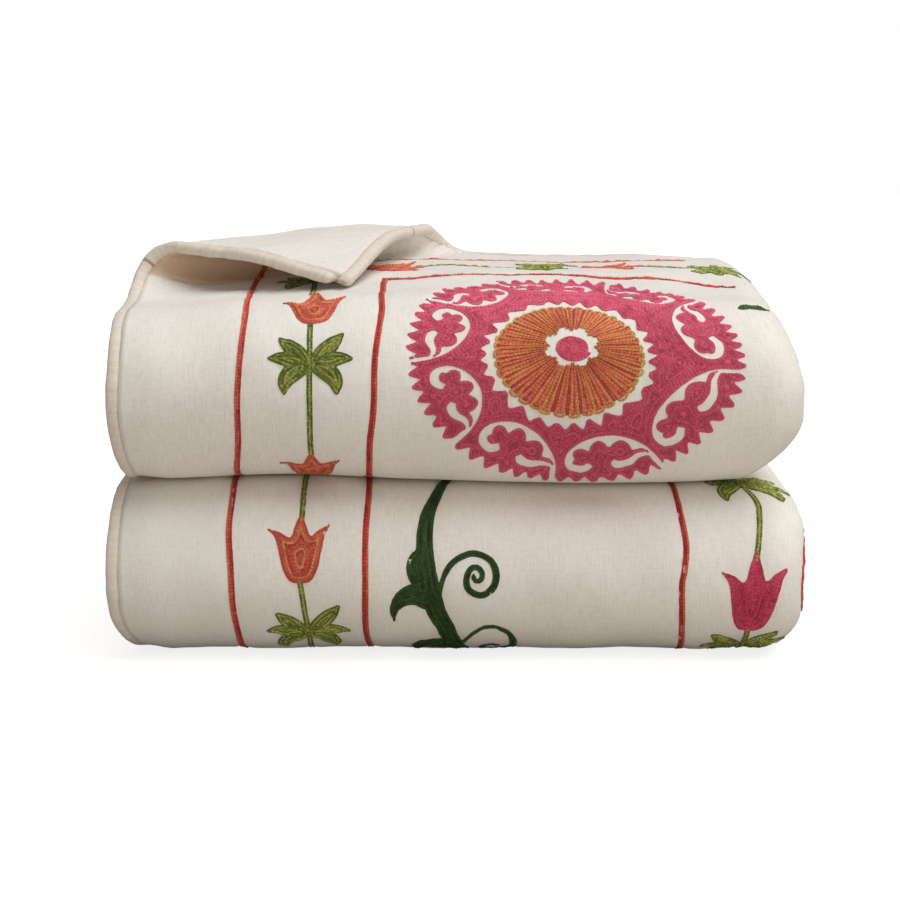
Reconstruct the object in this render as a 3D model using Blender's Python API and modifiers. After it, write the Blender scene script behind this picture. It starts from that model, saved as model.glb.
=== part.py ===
"""A suzani embroidered quilt, folded in four each way into two plump bundles.

The quilt is cut as a flat sheet, u across and v down its length, and then folded.
Its width is folded in four plies that lie side by side in a flat section. That
section is then carried along a path that runs back and forth in four panels:
forward over the top, round the upper front fold, back under, round the rear fold,
forward again, round the lower front fold and back along the surface that it rests on.
The top rear corner of the outer ply is rolled forward, so that its reverse shows.
A rolled binding follows each of the quilt's four edges.

Metres, +Z up, -Y to the front. The origin is on the resting surface, under the middle.
"""

import math

import bmesh
import bpy
import numpy as np

# The folded stack
STACK_WIDTH = 0.571  # from the bound edges at the left to the outer fold at the right
FLAT_DEPTH = 0.275  # the straight run of each panel, from the front folds to the rear
CLOTH = 0.014  # face, filling and backing together, lying loose
UPPER_PITCH = 0.0212  # from ply to ply in the upper bundle
LOWER_PITCH = 0.0188  # and in the lower one, which carries the upper one's weight

# The binding, a filled strip rolled over the edge of the cloth
BINDING = 0.0100
SEAM_GAP = 0.0007
BOUND_THICKNESS = 0.62  # share of the loose thickness that is left at a bound edge
BOUND_REACH = 0.030  # how far in from an edge the seam flattens the cloth

# The corner that is turned back
ROLL_ON_SIDE = 0.205  # where the roll starts on the side edge, from the corner
ROLL_ON_END = 0.279  # and on the end edge
ROLL_RADIUS_LEFT = 0.0214
ROLL_RADIUS_RIGHT = 0.0108
ROLL_EASE = 1.0  # how far before and after its start the bend sets in, in radii
CORNER_STRETCH = 1.20  # the turned corner lies a little further forward than it would flat
CORNER_THICKNESS = 0.62
CORNER_LIFT = 0.0130  # height of the corner's tip over the ply below, middle to middle

# How the stack has settled
LEFT_DROOP = 0.012  # the upper bundle falls away toward its bound end
RIGHT_SLUMP = 0.014  # the upper plies are drawn in at the folded end
RIGHT_FALL = 0.0055  # and lie lower there
RIGHT_UNDERCUT = 0.023  # the upper bundle's folded end is rounder below
LOWER_SPREAD = 0.018  # the lower bundle is pressed wider, as a share
FRONT_SAG = 0.0045  # the upper bundle's front rests on the lower bundle
CREASE_DIP = 0.0045  # and the crease between them is lower toward the middle
CREASE_HUMP = 0.0040  # and higher left of it
TOP_FALL = 0.006  # the top panel comes down a little towards the front fold
EDGE_TUCK = 0.008  # the bound ends draw in over the crease and at the surface
RIPPLE = 0.0016  # slow unevenness of the plies

# Triangles that are left once flat areas are thinned out
KEPT_SHARE = 0.40

LEAD = 0.020  # length past each edge for which the folding rule still holds
ARC_STEP = math.radians(3)
LEFT_EDGE = -STACK_WIDTH / 2 + BINDING + SEAM_GAP


def smooth(value, start, end):
    """0 before start, 1 after end, with an easy slope between. end may be below start."""
    share = np.clip((np.asarray(value, float) - start) / (end - start), 0.0, 1.0)
    return share * share * (3 - 2 * share)


class Track:
    """A plane line of straight runs and half turns, read by its arc length."""

    def __init__(self, start, heading):
        self.points = [np.array(start, float)]
        self.headings = [heading]
        self.lengths = [0.0]
        self.marks = [0.0]

    def _add(self, point, heading):
        self.lengths.append(self.lengths[-1] + float(np.linalg.norm(point - self.points[-1])))
        self.points.append(point)
        self.headings.append(heading)

    def run(self, length):
        heading = self.headings[-1]
        step = np.array((math.cos(heading), math.sin(heading))) * length
        self._add(self.points[-1] + step, heading)
        self.marks.append(self.lengths[-1])
        return self

    def half_turn(self, radius, side):
        """Turns by 180 degrees, to the left for side 1 and to the right for side -1."""
        first = self.headings[-1]
        inward = np.array((-math.sin(first), math.cos(first))) * side
        centre = self.points[-1] + inward * radius
        steps = round(math.pi / ARC_STEP)
        for i in range(1, steps + 1):
            turned = first + side * math.pi * i / steps
            outward = -side * np.array((-math.sin(turned), math.cos(turned)))
            self._add(centre + outward * radius, turned)
        self.marks.append(self.lengths[-1])
        return self

    def at(self, length):
        """Both coordinates and the heading at arc lengths counted from the end of the lead."""
        along = np.asarray(length, float) + self.marks[1]
        points = np.array(self.points)
        return (
            np.interp(along, self.lengths, points[:, 0]),
            np.interp(along, self.lengths, points[:, 1]),
            np.interp(along, self.lengths, self.headings),
        )

    def spans(self):
        """The lengths of the runs and turns between the two leads."""
        return np.diff(self.marks[1:-1])


def ply_section():
    """The four plies across: x along, and n outwards, both at the mean pitch.

    From the outer ply's bound edge: right along the outer ply, round the outer fold,
    left along the innermost ply, round the left fold, right, round the inner fold and
    left again to the other bound edge, which lies just inside the first.
    """
    pitch = (UPPER_PITCH + LOWER_PITCH) / 2
    left = LEFT_EDGE
    fold_x = STACK_WIDTH / 2 - 1.5 * pitch - CLOTH / 2
    left_fold_x = left + 0.5 * pitch + CLOTH / 2 + 0.004
    inner_left = left + 0.009
    return (
        Track((left - LEAD, 1.5 * pitch), 0.0)
        .run(LEAD)
        .run(fold_x - left)
        .half_turn(1.5 * pitch, -1)
        .run(fold_x - left_fold_x)
        .half_turn(0.5 * pitch, -1)
        .run(fold_x - left_fold_x)
        .half_turn(0.5 * pitch, 1)
        .run(fold_x - inner_left)
        .run(LEAD)
    )


def panel_path():
    """The pack's middle line in the upright plane: y along, z up, from the top rear end."""
    lowest = 1.5 * LOWER_PITCH + CLOTH / 2
    top = lowest + 4 * LOWER_PITCH + 2 * (UPPER_PITCH + LOWER_PITCH) + 4 * UPPER_PITCH
    return (
        Track((FLAT_DEPTH + LEAD, top), math.pi)
        .run(LEAD)
        .run(FLAT_DEPTH)
        .half_turn(2 * UPPER_PITCH, 1)
        .run(FLAT_DEPTH)
        .half_turn(UPPER_PITCH + LOWER_PITCH, -1)
        .run(FLAT_DEPTH)
        .half_turn(2 * LOWER_PITCH, 1)
        .run(FLAT_DEPTH)
        .run(LEAD)
    )


SECTION = ply_section()
PATH = panel_path()
OUTER_PLY = SECTION.spans()[0]
FLAT_WIDTH = float(SECTION.spans().sum())
FLAT_LENGTH = float(PATH.spans().sum())
STACK_TOP = PATH.points[0][1] + 1.5 * UPPER_PITCH + CLOTH / 2
CREASE = PATH.points[0][1] - 4 * UPPER_PITCH - 1.5 * UPPER_PITCH - CLOTH / 2
REAR = FLAT_DEPTH + UPPER_PITCH + LOWER_PITCH + 1.5 * LOWER_PITCH + CLOTH / 2
FRONT = -(3.5 * UPPER_PITCH + CLOTH / 2)
MIDDLE = (0.0002, (FRONT + REAR) / 2 + 0.0008, -0.0001)  # of the settled stack's box, at its foot


def pitch_share(v):
    """The ply pitch along the path, as a share of the mean: it changes round the rear fold."""
    spans = PATH.spans()
    start = spans[:3].sum()
    end = start + spans[3]
    mean = (UPPER_PITCH + LOWER_PITCH) / 2
    return (UPPER_PITCH + (LOWER_PITCH - UPPER_PITCH) * smooth(v, start, end)) / mean


def eased_roll():
    """A roll of radius 1 whose bend sets in gently: how far on and how far up, by turned length."""
    turned = np.linspace(-ROLL_EASE, math.pi, 240)
    angle = np.where(turned < ROLL_EASE, (turned + ROLL_EASE) ** 2 / (4 * ROLL_EASE), turned)
    middle = (angle[1:] + angle[:-1]) / 2
    step = turned[1] - turned[0]
    along = np.concatenate(((0.0,), np.cumsum(np.cos(middle) * step))) - ROLL_EASE
    up = np.concatenate(((0.0,), np.cumsum(np.sin(middle) * step)))
    return (turned, along), (turned, up)


ROLL_ALONG, ROLL_UP = eased_roll()


def turned_corner(u, v, x, y, z):
    """Rolls the outer ply's top rear corner forward over a slanting line."""
    start = np.array((LEFT_EDGE, FLAT_DEPTH - ROLL_ON_SIDE))
    length = math.hypot(ROLL_ON_END, ROLL_ON_SIDE)
    along = np.array((ROLL_ON_END, ROLL_ON_SIDE)) / length
    normal = np.array((-along[1], along[0]))
    past = (x - start[0]) * normal[0] + (y - start[1]) * normal[1]
    share = np.clip(((x - start[0]) * along[0] + (y - start[1]) * along[1]) / length, 0, 1)
    radius = ROLL_RADIUS_LEFT + (ROLL_RADIUS_RIGHT - ROLL_RADIUS_LEFT) * share
    turned = np.clip(past / radius, -ROLL_EASE, math.pi)
    beyond = np.maximum(past - math.pi * radius, 0)
    furthest = ROLL_ON_SIDE * normal[1] - math.pi * ROLL_RADIUS_RIGHT
    settle = smooth(beyond, 0.3 * furthest, furthest)
    place = radius * np.interp(turned, *ROLL_ALONG) - CORNER_STRETCH * beyond
    height = radius * np.interp(turned, *ROLL_UP) + (CORNER_LIFT - radius * ROLL_UP[1][-1]) * settle
    moves = (past > -ROLL_EASE * radius) & (u < OUTER_PLY) & (v < FLAT_DEPTH)
    shift = np.where(moves, place - past, 0.0)
    return x + shift * normal[0], y + shift * normal[1], z + np.where(moves, height, 0.0)


def settled(x, y, z):
    """How the whole stack gives: one smooth bend of space, so that no two plies meet."""
    height = z / STACK_TOP
    upper = np.clip((z - CREASE) / (STACK_TOP - CREASE), 0, 1.2)
    near_top = smooth(z, 0.225, STACK_TOP)
    slump = RIGHT_SLUMP * smooth(x, 0.05, STACK_WIDTH / 2) * near_top
    above_crease = smooth(z, CREASE + 0.060, CREASE) * smooth(z, CREASE - 0.028, CREASE)
    undercut = RIGHT_UNDERCUT * smooth(x, 0.16, STACK_WIDTH / 2) * above_crease
    spread = LOWER_SPREAD * x * smooth(z, CREASE + 0.004, CREASE - 0.014)
    round_upper = np.cos(math.pi * (z - (CREASE + STACK_TOP) / 2) / (STACK_TOP - CREASE))
    round_lower = np.cos(math.pi * (z - CREASE / 2) / CREASE)
    bulge = np.clip(np.where(z > CREASE, round_upper, round_lower), 0, 1)
    share = 0.5 + 0.5 * smooth(z, CREASE - 0.012, CREASE + 0.004) - near_top
    share = share + 2.0 * smooth(z, 0.06, 0)
    tuck = EDGE_TUCK * share * (1 - bulge) * smooth(-x, 0.19, STACK_WIDTH / 2)
    droop = LEFT_DROOP * smooth(-x, 0.09, 0.26) * upper
    droop = droop + RIGHT_FALL * smooth(x, 0.16, 0.26) * near_top
    droop = droop + FRONT_SAG * smooth(y, 0.12, 0.02) * smooth(z, CREASE - 0.0055, CREASE)
    droop = droop + CREASE_DIP * np.exp(-(((z - CREASE) / 0.05) ** 2) - ((x - 0.07) / 0.11) ** 2)
    droop = droop - CREASE_HUMP * np.exp(-(((z - CREASE) / 0.05) ** 2) - ((x + 0.14) / 0.07) ** 2)
    droop = droop + TOP_FALL * smooth(y, 0.18, 0.0) * upper * upper
    wave = RIPPLE * height * (np.sin(21 * x + 9 * y + 0.6) + np.sin(14 * x - 23 * y + 2.1))
    return x - slump - undercut + spread + tuck, y + 0.5 * wave, z - droop + wave


def folded(u, v):
    """Where the point (u, v) of the flat quilt lies once it is folded and has settled."""
    x, n, _ = SECTION.at(u)
    y, z, heading = PATH.at(v)
    n = n * pitch_share(v)
    y = y + n * np.sin(heading)
    z = z - n * np.cos(heading)
    x, y, z = turned_corner(u, v, x, y, z)
    x, y, z = settled(x, y, z)
    return np.stack((x, y, z), axis=-1) - MIDDLE


def stations(spans, cells):
    """Places along a line of spans, each cut into its own number of equal cells."""
    ends = np.concatenate(((0.0,), np.cumsum(spans)))
    pieces = [np.linspace(a, b, n + 1)[:-1] for a, b, n in zip(ends, ends[1:], cells)]
    return np.concatenate((*pieces, ends[-1:]))


def across_stations():
    """u: close together at the turned corner, closest where the end edge rolls, and round each fold."""
    outer, *rest = SECTION.spans()
    rolls, ends = 0.195, 0.300
    return stations((rolls, ends - rolls, outer - ends, *rest), (16, 20, 7, 8, 6, 6, 6, 6, 6))


def along_stations():
    """v: close together at the turned corner, closest where the side edge rolls, and round each fold."""
    first, *rest = PATH.spans()
    rolls, ends = 0.150, 0.225
    return stations((rolls, ends - rolls, first - ends, *rest), (13, 13, 4, 12, 6, 10, 6, 12, 6))


def material(name, colour, roughness):
    made = bpy.data.materials.new(name)
    made.use_nodes = True
    shader = made.node_tree.nodes["Principled BSDF"]
    shader.inputs["Base Color"].default_value = (*colour, 1.0)
    shader.inputs["Roughness"].default_value = roughness
    shader.inputs["Metallic"].default_value = 0.0
    return made


def thickness_share(u, v):
    """Thin at the bound edges, where the seam holds the filling down, and at the turned corner."""
    inset = np.minimum(np.minimum(u, FLAT_WIDTH - u), np.minimum(v, FLAT_LENGTH - v))
    share = BOUND_THICKNESS + (1 - BOUND_THICKNESS) * smooth(inset, 0, BOUND_REACH)
    corner = smooth(u / 0.30 + v / 0.26, 1.25, 0.85)
    return np.minimum(share, 1 - (1 - CORNER_THICKNESS) * corner)


def weights(obj, name, values):
    group = obj.vertex_groups.new(name=name)
    for index, value in enumerate(values):
        group.add([index], float(value), "REPLACE")
    return group


def quilt_body(collection, finish):
    """The quilt: a flat grid, folded point by point, then given its thickness."""
    across = across_stations()
    along = along_stations()
    grid = bmesh.new()
    bmesh.ops.create_grid(grid, x_segments=len(across) - 1, y_segments=len(along) - 1, size=1)
    mesh = bpy.data.meshes.new("quilt")
    grid.to_mesh(mesh)
    grid.free()
    flat = np.zeros(len(mesh.vertices) * 3)
    mesh.vertices.foreach_get("co", flat)
    flat = (flat.reshape(-1, 3)[:, :2] + 1) / 2
    column = np.rint(flat[:, 0] * (len(across) - 1)).astype(int)
    row = np.rint(flat[:, 1] * (len(along) - 1)).astype(int)
    u, v = across[column], along[row]
    mesh.vertices.foreach_set("co", folded(u, v).ravel())
    mesh.update()
    mesh.materials.append(finish)

    quilt = bpy.data.objects.new("quilt", mesh)
    collection.objects.link(quilt)
    thickness = weights(quilt, "thickness", thickness_share(u, v))
    on_rim = (column % (len(across) - 1) == 0) | (row % (len(along) - 1) == 0)
    rims = weights(quilt, "rims", on_rim)
    thick = quilt.modifiers.new("cloth thickness", "SOLIDIFY")
    thick.thickness = CLOTH
    thick.offset = 0
    thick.vertex_group = thickness.name
    fewer = quilt.modifiers.new("fewer triangles", "DECIMATE")
    fewer.ratio = KEPT_SHARE
    fewer.vertex_group = rims.name
    fewer.invert_vertex_group = True
    mesh.shade_smooth()
    mesh.set_sharp_from_angle(angle=math.radians(40))
    return quilt


def beside_edge(edge, inside, distance):
    """Places at this distance out from an edge, square to its run and in the cloth's own plane."""
    run = np.gradient(edge, axis=0)
    run /= np.linalg.norm(run, axis=1, keepdims=True)
    out = edge - inside
    out -= (out * run).sum(axis=1, keepdims=True) * run
    out /= np.linalg.norm(out, axis=1, keepdims=True)
    return edge + out * distance


def binding_strip(collection, finish, name, edge, inside):
    """One strip of the rolled binding: a filled tube along an edge of the cloth."""
    curve = bpy.data.curves.new(name, "CURVE")
    curve.dimensions = "3D"
    curve.bevel_depth = BINDING / 2
    curve.bevel_resolution = 2
    curve.use_fill_caps = True
    places = beside_edge(folded(*edge), folded(*inside), SEAM_GAP + BINDING / 2)
    spline = curve.splines.new("POLY")
    spline.points.add(len(places) - 1)
    for point, place in zip(spline.points, places):
        point.co = (*place, 1.0)
    curve.materials.append(finish)
    strip = bpy.data.objects.new(name, curve)
    collection.objects.link(strip)


def binding(collection, finish):
    """Four strips: the end strips cover the corners, and the side strips run between them."""
    past = SEAM_GAP + BINDING
    step = 0.001
    u = np.concatenate(((-past,), across_stations(), (FLAT_WIDTH + past,)))
    v = along_stations()
    v[0] += SEAM_GAP / 2
    v[-1] -= SEAM_GAP / 2
    left, right = np.zeros_like(v), np.full_like(v, FLAT_WIDTH)
    top, bottom = np.zeros_like(u), np.full_like(u, FLAT_LENGTH)
    binding_strip(collection, finish, "binding_side_outer", (left, v), (left + step, v))
    binding_strip(collection, finish, "binding_side_inner", (right, v), (right - step, v))
    binding_strip(collection, finish, "binding_end_top", (u, top), (u, top + step))
    binding_strip(collection, finish, "binding_end_bottom", (u, bottom), (u, bottom - step))


def main():
    for obj in list(bpy.data.objects):
        bpy.data.objects.remove(obj, do_unlink=True)
    collection = bpy.data.collections.new("folded_suzani_quilt")
    bpy.context.scene.collection.children.link(collection)
    ground = material("cream_cotton", (0.62, 0.56, 0.47), 0.9)
    trim = material("cream_binding", (0.60, 0.53, 0.43), 0.85)
    quilt_body(collection, ground)
    binding(collection, trim)


main()
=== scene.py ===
"""Looks of the folded suzani quilt: the filled cloth, its rolled binding and its chain stitch.

The quilt is cut as a flat sheet, u across and v down its length, in metres from the corner
that is turned back. The same folding rule as the solid's carries each flat place to where
it lies, so the cloth, the binding and every stitch follow the same folds.
"""

import math

import bpy
import numpy as np
from bpy.props import FloatProperty, FloatVectorProperty, PointerProperty
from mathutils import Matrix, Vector


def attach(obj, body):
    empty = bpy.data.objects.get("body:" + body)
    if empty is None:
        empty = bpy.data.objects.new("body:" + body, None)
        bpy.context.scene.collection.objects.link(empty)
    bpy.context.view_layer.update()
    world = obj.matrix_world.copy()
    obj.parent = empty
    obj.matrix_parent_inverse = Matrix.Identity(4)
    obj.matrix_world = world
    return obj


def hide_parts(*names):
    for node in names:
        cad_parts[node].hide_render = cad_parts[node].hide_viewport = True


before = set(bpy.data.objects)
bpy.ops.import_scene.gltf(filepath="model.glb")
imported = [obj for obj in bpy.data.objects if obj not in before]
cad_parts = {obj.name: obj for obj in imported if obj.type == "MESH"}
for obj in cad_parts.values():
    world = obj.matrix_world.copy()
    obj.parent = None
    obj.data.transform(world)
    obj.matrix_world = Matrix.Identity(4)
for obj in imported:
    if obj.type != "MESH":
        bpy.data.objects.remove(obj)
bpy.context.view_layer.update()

bl_info = {
    "name": "Folded suzani quilt",
    "version": (1, 0, 0),
    "blender": (4, 5, 0),
    "location": "3D View > Sidebar > Quilt",
    "description": "Makes a folded, bound and embroidered quilt over its frame",
    "category": "Object",
}

# The folded stack as the solid has it: lengths in metres, thicknesses of edge and corner as shares
STACK_WIDTH = 0.571
FLAT_DEPTH = 0.275
CLOTH = 0.014
UPPER_PITCH = 0.0212
LOWER_PITCH = 0.0188
BINDING = 0.0100
SEAM_GAP = 0.0007
BOUND_THICKNESS = 0.62
BOUND_REACH = 0.030
ROLL_ON_SIDE = 0.205
ROLL_ON_END = 0.279
ROLL_RADIUS_LEFT = 0.0214
ROLL_RADIUS_RIGHT = 0.0108
ROLL_EASE = 1.0
CORNER_STRETCH = 1.20
CORNER_THICKNESS = 0.62
CORNER_LIFT = 0.0130
LEFT_DROOP = 0.012
RIGHT_SLUMP = 0.014
RIGHT_FALL = 0.0055
RIGHT_UNDERCUT = 0.023
LOWER_SPREAD = 0.018
FRONT_SAG = 0.0045
CREASE_DIP = 0.0045
CREASE_HUMP = 0.0040
TOP_FALL = 0.006
EDGE_TUCK = 0.008
RIPPLE = 0.0016
LEAD = 0.020
ARC_STEP = math.radians(3)
LEFT_EDGE = -STACK_WIDTH / 2 + BINDING + SEAM_GAP


# ---- How a flat place is folded ----


def smooth(value, start, end):
    """0 before start, 1 after end, with an easy slope between. end may be below start."""
    share = np.clip((np.asarray(value, float) - start) / (end - start), 0.0, 1.0)
    return share * share * (3 - 2 * share)


class Track:
    """A plane line of straight runs and half turns, read by its arc length."""

    def __init__(self, start, heading):
        self.points = [np.array(start, float)]
        self.headings = [heading]
        self.lengths = [0.0]
        self.marks = [0.0]

    def _add(self, point, heading):
        self.lengths.append(self.lengths[-1] + float(np.linalg.norm(point - self.points[-1])))
        self.points.append(point)
        self.headings.append(heading)

    def run(self, length):
        """Goes straight on."""
        heading = self.headings[-1]
        step = np.array((math.cos(heading), math.sin(heading))) * length
        self._add(self.points[-1] + step, heading)
        self.marks.append(self.lengths[-1])
        return self

    def half_turn(self, radius, side):
        """Turns by 180 degrees, to the left for side 1 and to the right for side -1."""
        first = self.headings[-1]
        inward = np.array((-math.sin(first), math.cos(first))) * side
        centre = self.points[-1] + inward * radius
        steps = round(math.pi / ARC_STEP)
        for i in range(1, steps + 1):
            turned = first + side * math.pi * i / steps
            outward = -side * np.array((-math.sin(turned), math.cos(turned)))
            self._add(centre + outward * radius, turned)
        self.marks.append(self.lengths[-1])
        return self

    def at(self, length):
        """Both coordinates and the heading at arc lengths counted from the end of the lead."""
        along = np.asarray(length, float) + self.marks[1]
        points = np.array(self.points)
        return (
            np.interp(along, self.lengths, points[:, 0]),
            np.interp(along, self.lengths, points[:, 1]),
            np.interp(along, self.lengths, self.headings),
        )

    def spans(self):
        """The lengths of the runs and turns between the two leads."""
        return np.diff(self.marks[1:-1])


def ply_section():
    """The four plies across: x along, and n outwards, both at the mean pitch."""
    pitch = (UPPER_PITCH + LOWER_PITCH) / 2
    left = LEFT_EDGE
    fold_x = STACK_WIDTH / 2 - 1.5 * pitch - CLOTH / 2
    left_fold_x = left + 0.5 * pitch + CLOTH / 2 + 0.004
    inner_left = left + 0.009
    return (
        Track((left - LEAD, 1.5 * pitch), 0.0)
        .run(LEAD)
        .run(fold_x - left)
        .half_turn(1.5 * pitch, -1)
        .run(fold_x - left_fold_x)
        .half_turn(0.5 * pitch, -1)
        .run(fold_x - left_fold_x)
        .half_turn(0.5 * pitch, 1)
        .run(fold_x - inner_left)
        .run(LEAD)
    )


def panel_path():
    """The pack's middle line in the upright plane: y along, z up, from the top rear end."""
    lowest = 1.5 * LOWER_PITCH + CLOTH / 2
    top = lowest + 4 * LOWER_PITCH + 2 * (UPPER_PITCH + LOWER_PITCH) + 4 * UPPER_PITCH
    return (
        Track((FLAT_DEPTH + LEAD, top), math.pi)
        .run(LEAD)
        .run(FLAT_DEPTH)
        .half_turn(2 * UPPER_PITCH, 1)
        .run(FLAT_DEPTH)
        .half_turn(UPPER_PITCH + LOWER_PITCH, -1)
        .run(FLAT_DEPTH)
        .half_turn(2 * LOWER_PITCH, 1)
        .run(FLAT_DEPTH)
        .run(LEAD)
    )


SECTION = ply_section()
PATH = panel_path()
OUTER_PLY = SECTION.spans()[0]
FLAT_WIDTH = float(SECTION.spans().sum())
FLAT_LENGTH = float(PATH.spans().sum())
STACK_TOP = PATH.points[0][1] + 1.5 * UPPER_PITCH + CLOTH / 2
CREASE = PATH.points[0][1] - 4 * UPPER_PITCH - 1.5 * UPPER_PITCH - CLOTH / 2
REAR = FLAT_DEPTH + UPPER_PITCH + LOWER_PITCH + 1.5 * LOWER_PITCH + CLOTH / 2
FRONT = -(3.5 * UPPER_PITCH + CLOTH / 2)
MIDDLE = (0.0002, (FRONT + REAR) / 2 + 0.0008, -0.0001)
V_MARKS = np.concatenate(((0.0,), np.cumsum(PATH.spans())))
U_MARKS = np.concatenate(((0.0,), np.cumsum(SECTION.spans())))


def pitch_share(v):
    """The ply pitch along the path, as a share of the mean: it changes round the rear fold."""
    mean = (UPPER_PITCH + LOWER_PITCH) / 2
    return (UPPER_PITCH + (LOWER_PITCH - UPPER_PITCH) * smooth(v, V_MARKS[3], V_MARKS[4])) / mean


def eased_roll():
    """A roll of radius 1 whose bend sets in gently: how far on and how far up, by turned length."""
    turned = np.linspace(-ROLL_EASE, math.pi, 240)
    angle = np.where(turned < ROLL_EASE, (turned + ROLL_EASE) ** 2 / (4 * ROLL_EASE), turned)
    middle = (angle[1:] + angle[:-1]) / 2
    step = turned[1] - turned[0]
    along = np.concatenate(((0.0,), np.cumsum(np.cos(middle) * step))) - ROLL_EASE
    up = np.concatenate(((0.0,), np.cumsum(np.sin(middle) * step)))
    return (turned, along), (turned, up)


ROLL_ALONG, ROLL_UP = eased_roll()


def turned_corner(u, v, x, y, z):
    """Rolls the outer ply's top rear corner forward over a slanting line."""
    start = np.array((LEFT_EDGE, FLAT_DEPTH - ROLL_ON_SIDE))
    length = math.hypot(ROLL_ON_END, ROLL_ON_SIDE)
    along = np.array((ROLL_ON_END, ROLL_ON_SIDE)) / length
    normal = np.array((-along[1], along[0]))
    past = (x - start[0]) * normal[0] + (y - start[1]) * normal[1]
    share = np.clip(((x - start[0]) * along[0] + (y - start[1]) * along[1]) / length, 0, 1)
    radius = ROLL_RADIUS_LEFT + (ROLL_RADIUS_RIGHT - ROLL_RADIUS_LEFT) * share
    turned = np.clip(past / radius, -ROLL_EASE, math.pi)
    beyond = np.maximum(past - math.pi * radius, 0)
    furthest = ROLL_ON_SIDE * normal[1] - math.pi * ROLL_RADIUS_RIGHT
    settle = smooth(beyond, 0.3 * furthest, furthest)
    place = radius * np.interp(turned, *ROLL_ALONG) - CORNER_STRETCH * beyond
    height = radius * np.interp(turned, *ROLL_UP) + (CORNER_LIFT - radius * ROLL_UP[1][-1]) * settle
    moves = (past > -ROLL_EASE * radius) & (u < OUTER_PLY) & (v < FLAT_DEPTH)
    shift = np.where(moves, place - past, 0.0)
    return x + shift * normal[0], y + shift * normal[1], z + np.where(moves, height, 0.0)


def settled(x, y, z):
    """How the whole stack gives: one smooth bend of space, so that no two plies meet."""
    height = z / STACK_TOP
    upper = np.clip((z - CREASE) / (STACK_TOP - CREASE), 0, 1.2)
    near_top = smooth(z, 0.225, STACK_TOP)
    slump = RIGHT_SLUMP * smooth(x, 0.05, STACK_WIDTH / 2) * near_top
    above_crease = smooth(z, CREASE + 0.060, CREASE) * smooth(z, CREASE - 0.028, CREASE)
    undercut = RIGHT_UNDERCUT * smooth(x, 0.16, STACK_WIDTH / 2) * above_crease
    spread = LOWER_SPREAD * x * smooth(z, CREASE + 0.004, CREASE - 0.014)
    round_upper = np.cos(math.pi * (z - (CREASE + STACK_TOP) / 2) / (STACK_TOP - CREASE))
    round_lower = np.cos(math.pi * (z - CREASE / 2) / CREASE)
    bulge = np.clip(np.where(z > CREASE, round_upper, round_lower), 0, 1)
    share = 0.5 + 0.5 * smooth(z, CREASE - 0.012, CREASE + 0.004) - near_top
    share = share + 2.0 * smooth(z, 0.06, 0)
    tuck = EDGE_TUCK * share * (1 - bulge) * smooth(-x, 0.19, STACK_WIDTH / 2)
    droop = LEFT_DROOP * smooth(-x, 0.09, 0.26) * upper
    droop = droop + RIGHT_FALL * smooth(x, 0.16, 0.26) * near_top
    droop = droop + FRONT_SAG * smooth(y, 0.12, 0.02) * smooth(z, CREASE - 0.0055, CREASE)
    droop = droop + CREASE_DIP * np.exp(-(((z - CREASE) / 0.05) ** 2) - ((x - 0.07) / 0.11) ** 2)
    droop = droop - CREASE_HUMP * np.exp(-(((z - CREASE) / 0.05) ** 2) - ((x + 0.14) / 0.07) ** 2)
    droop = droop + TOP_FALL * smooth(y, 0.18, 0.0) * upper * upper
    wave = RIPPLE * height * (np.sin(21 * x + 9 * y + 0.6) + np.sin(14 * x - 23 * y + 2.1))
    return x - slump - undercut + spread + tuck, y + 0.5 * wave, z - droop + wave


def folded(u, v):
    """Where the middle of the cloth at the flat place (u, v) lies once folded and settled."""
    x, n, _ = SECTION.at(u)
    y, z, heading = PATH.at(v)
    n = n * pitch_share(v)
    y = y + n * np.sin(heading)
    z = z - n * np.cos(heading)
    x, y, z = turned_corner(u, v, x, y, z)
    x, y, z = settled(x, y, z)
    return np.stack((x, y, z), axis=-1) - MIDDLE


def unit(vectors):
    """Each vector over its own length."""
    return vectors / np.maximum(np.linalg.norm(vectors, axis=-1, keepdims=True), 1e-12)


def face_normal(u, v, step=0.0008):
    """Square to the cloth, out of its embroidered face: the cross product of its two runs."""
    across = folded(u + step, v) - folded(u - step, v)
    along = folded(u, v + step) - folded(u, v - step)
    return unit(np.cross(along, across))


def corner_share(u, v):
    """1 on the turned corner, 0 on the rest of the sheet."""
    return smooth(u / 0.30 + v / 0.26, 1.25, 0.85)


def thickness(u, v):
    """Thin at the bound edges, where the seam holds the filling down, and at the turned corner."""
    inset = np.minimum(np.minimum(u, FLAT_WIDTH - u), np.minimum(v, FLAT_LENGTH - v))
    share = BOUND_THICKNESS + (1 - BOUND_THICKNESS) * smooth(inset, 0, BOUND_REACH)
    return CLOTH * np.minimum(share, 1 - (1 - CORNER_THICKNESS) * corner_share(u, v))


# ---- Cloth distances on the face, which differ from the folding path's in the folds ----


def face_marks(side):
    """Distances along the outermost face at the folds' starts and ends.

    Each half turn counts by the face's own radius over the path's. side is 1 for the ply
    that shows at the front folds and -1 for the one that shows at the rear fold.
    """
    radii = (2 * UPPER_PITCH, UPPER_PITCH + LOWER_PITCH, 2 * LOWER_PITCH)
    pitches = (UPPER_PITCH, (UPPER_PITCH + LOWER_PITCH) / 2, LOWER_PITCH)
    shares = np.ones(7)
    for fold in range(3):
        outward = side * (1, -1, 1)[fold] * (1.5 * pitches[fold] + CLOTH / 2)
        shares[2 * fold + 1] = (radii[fold] + outward) / radii[fold]
    return np.concatenate(((0.0,), np.cumsum(PATH.spans() * shares)))


FRONT_FACE = face_marks(1)
REAR_FACE = face_marks(-1)
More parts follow.
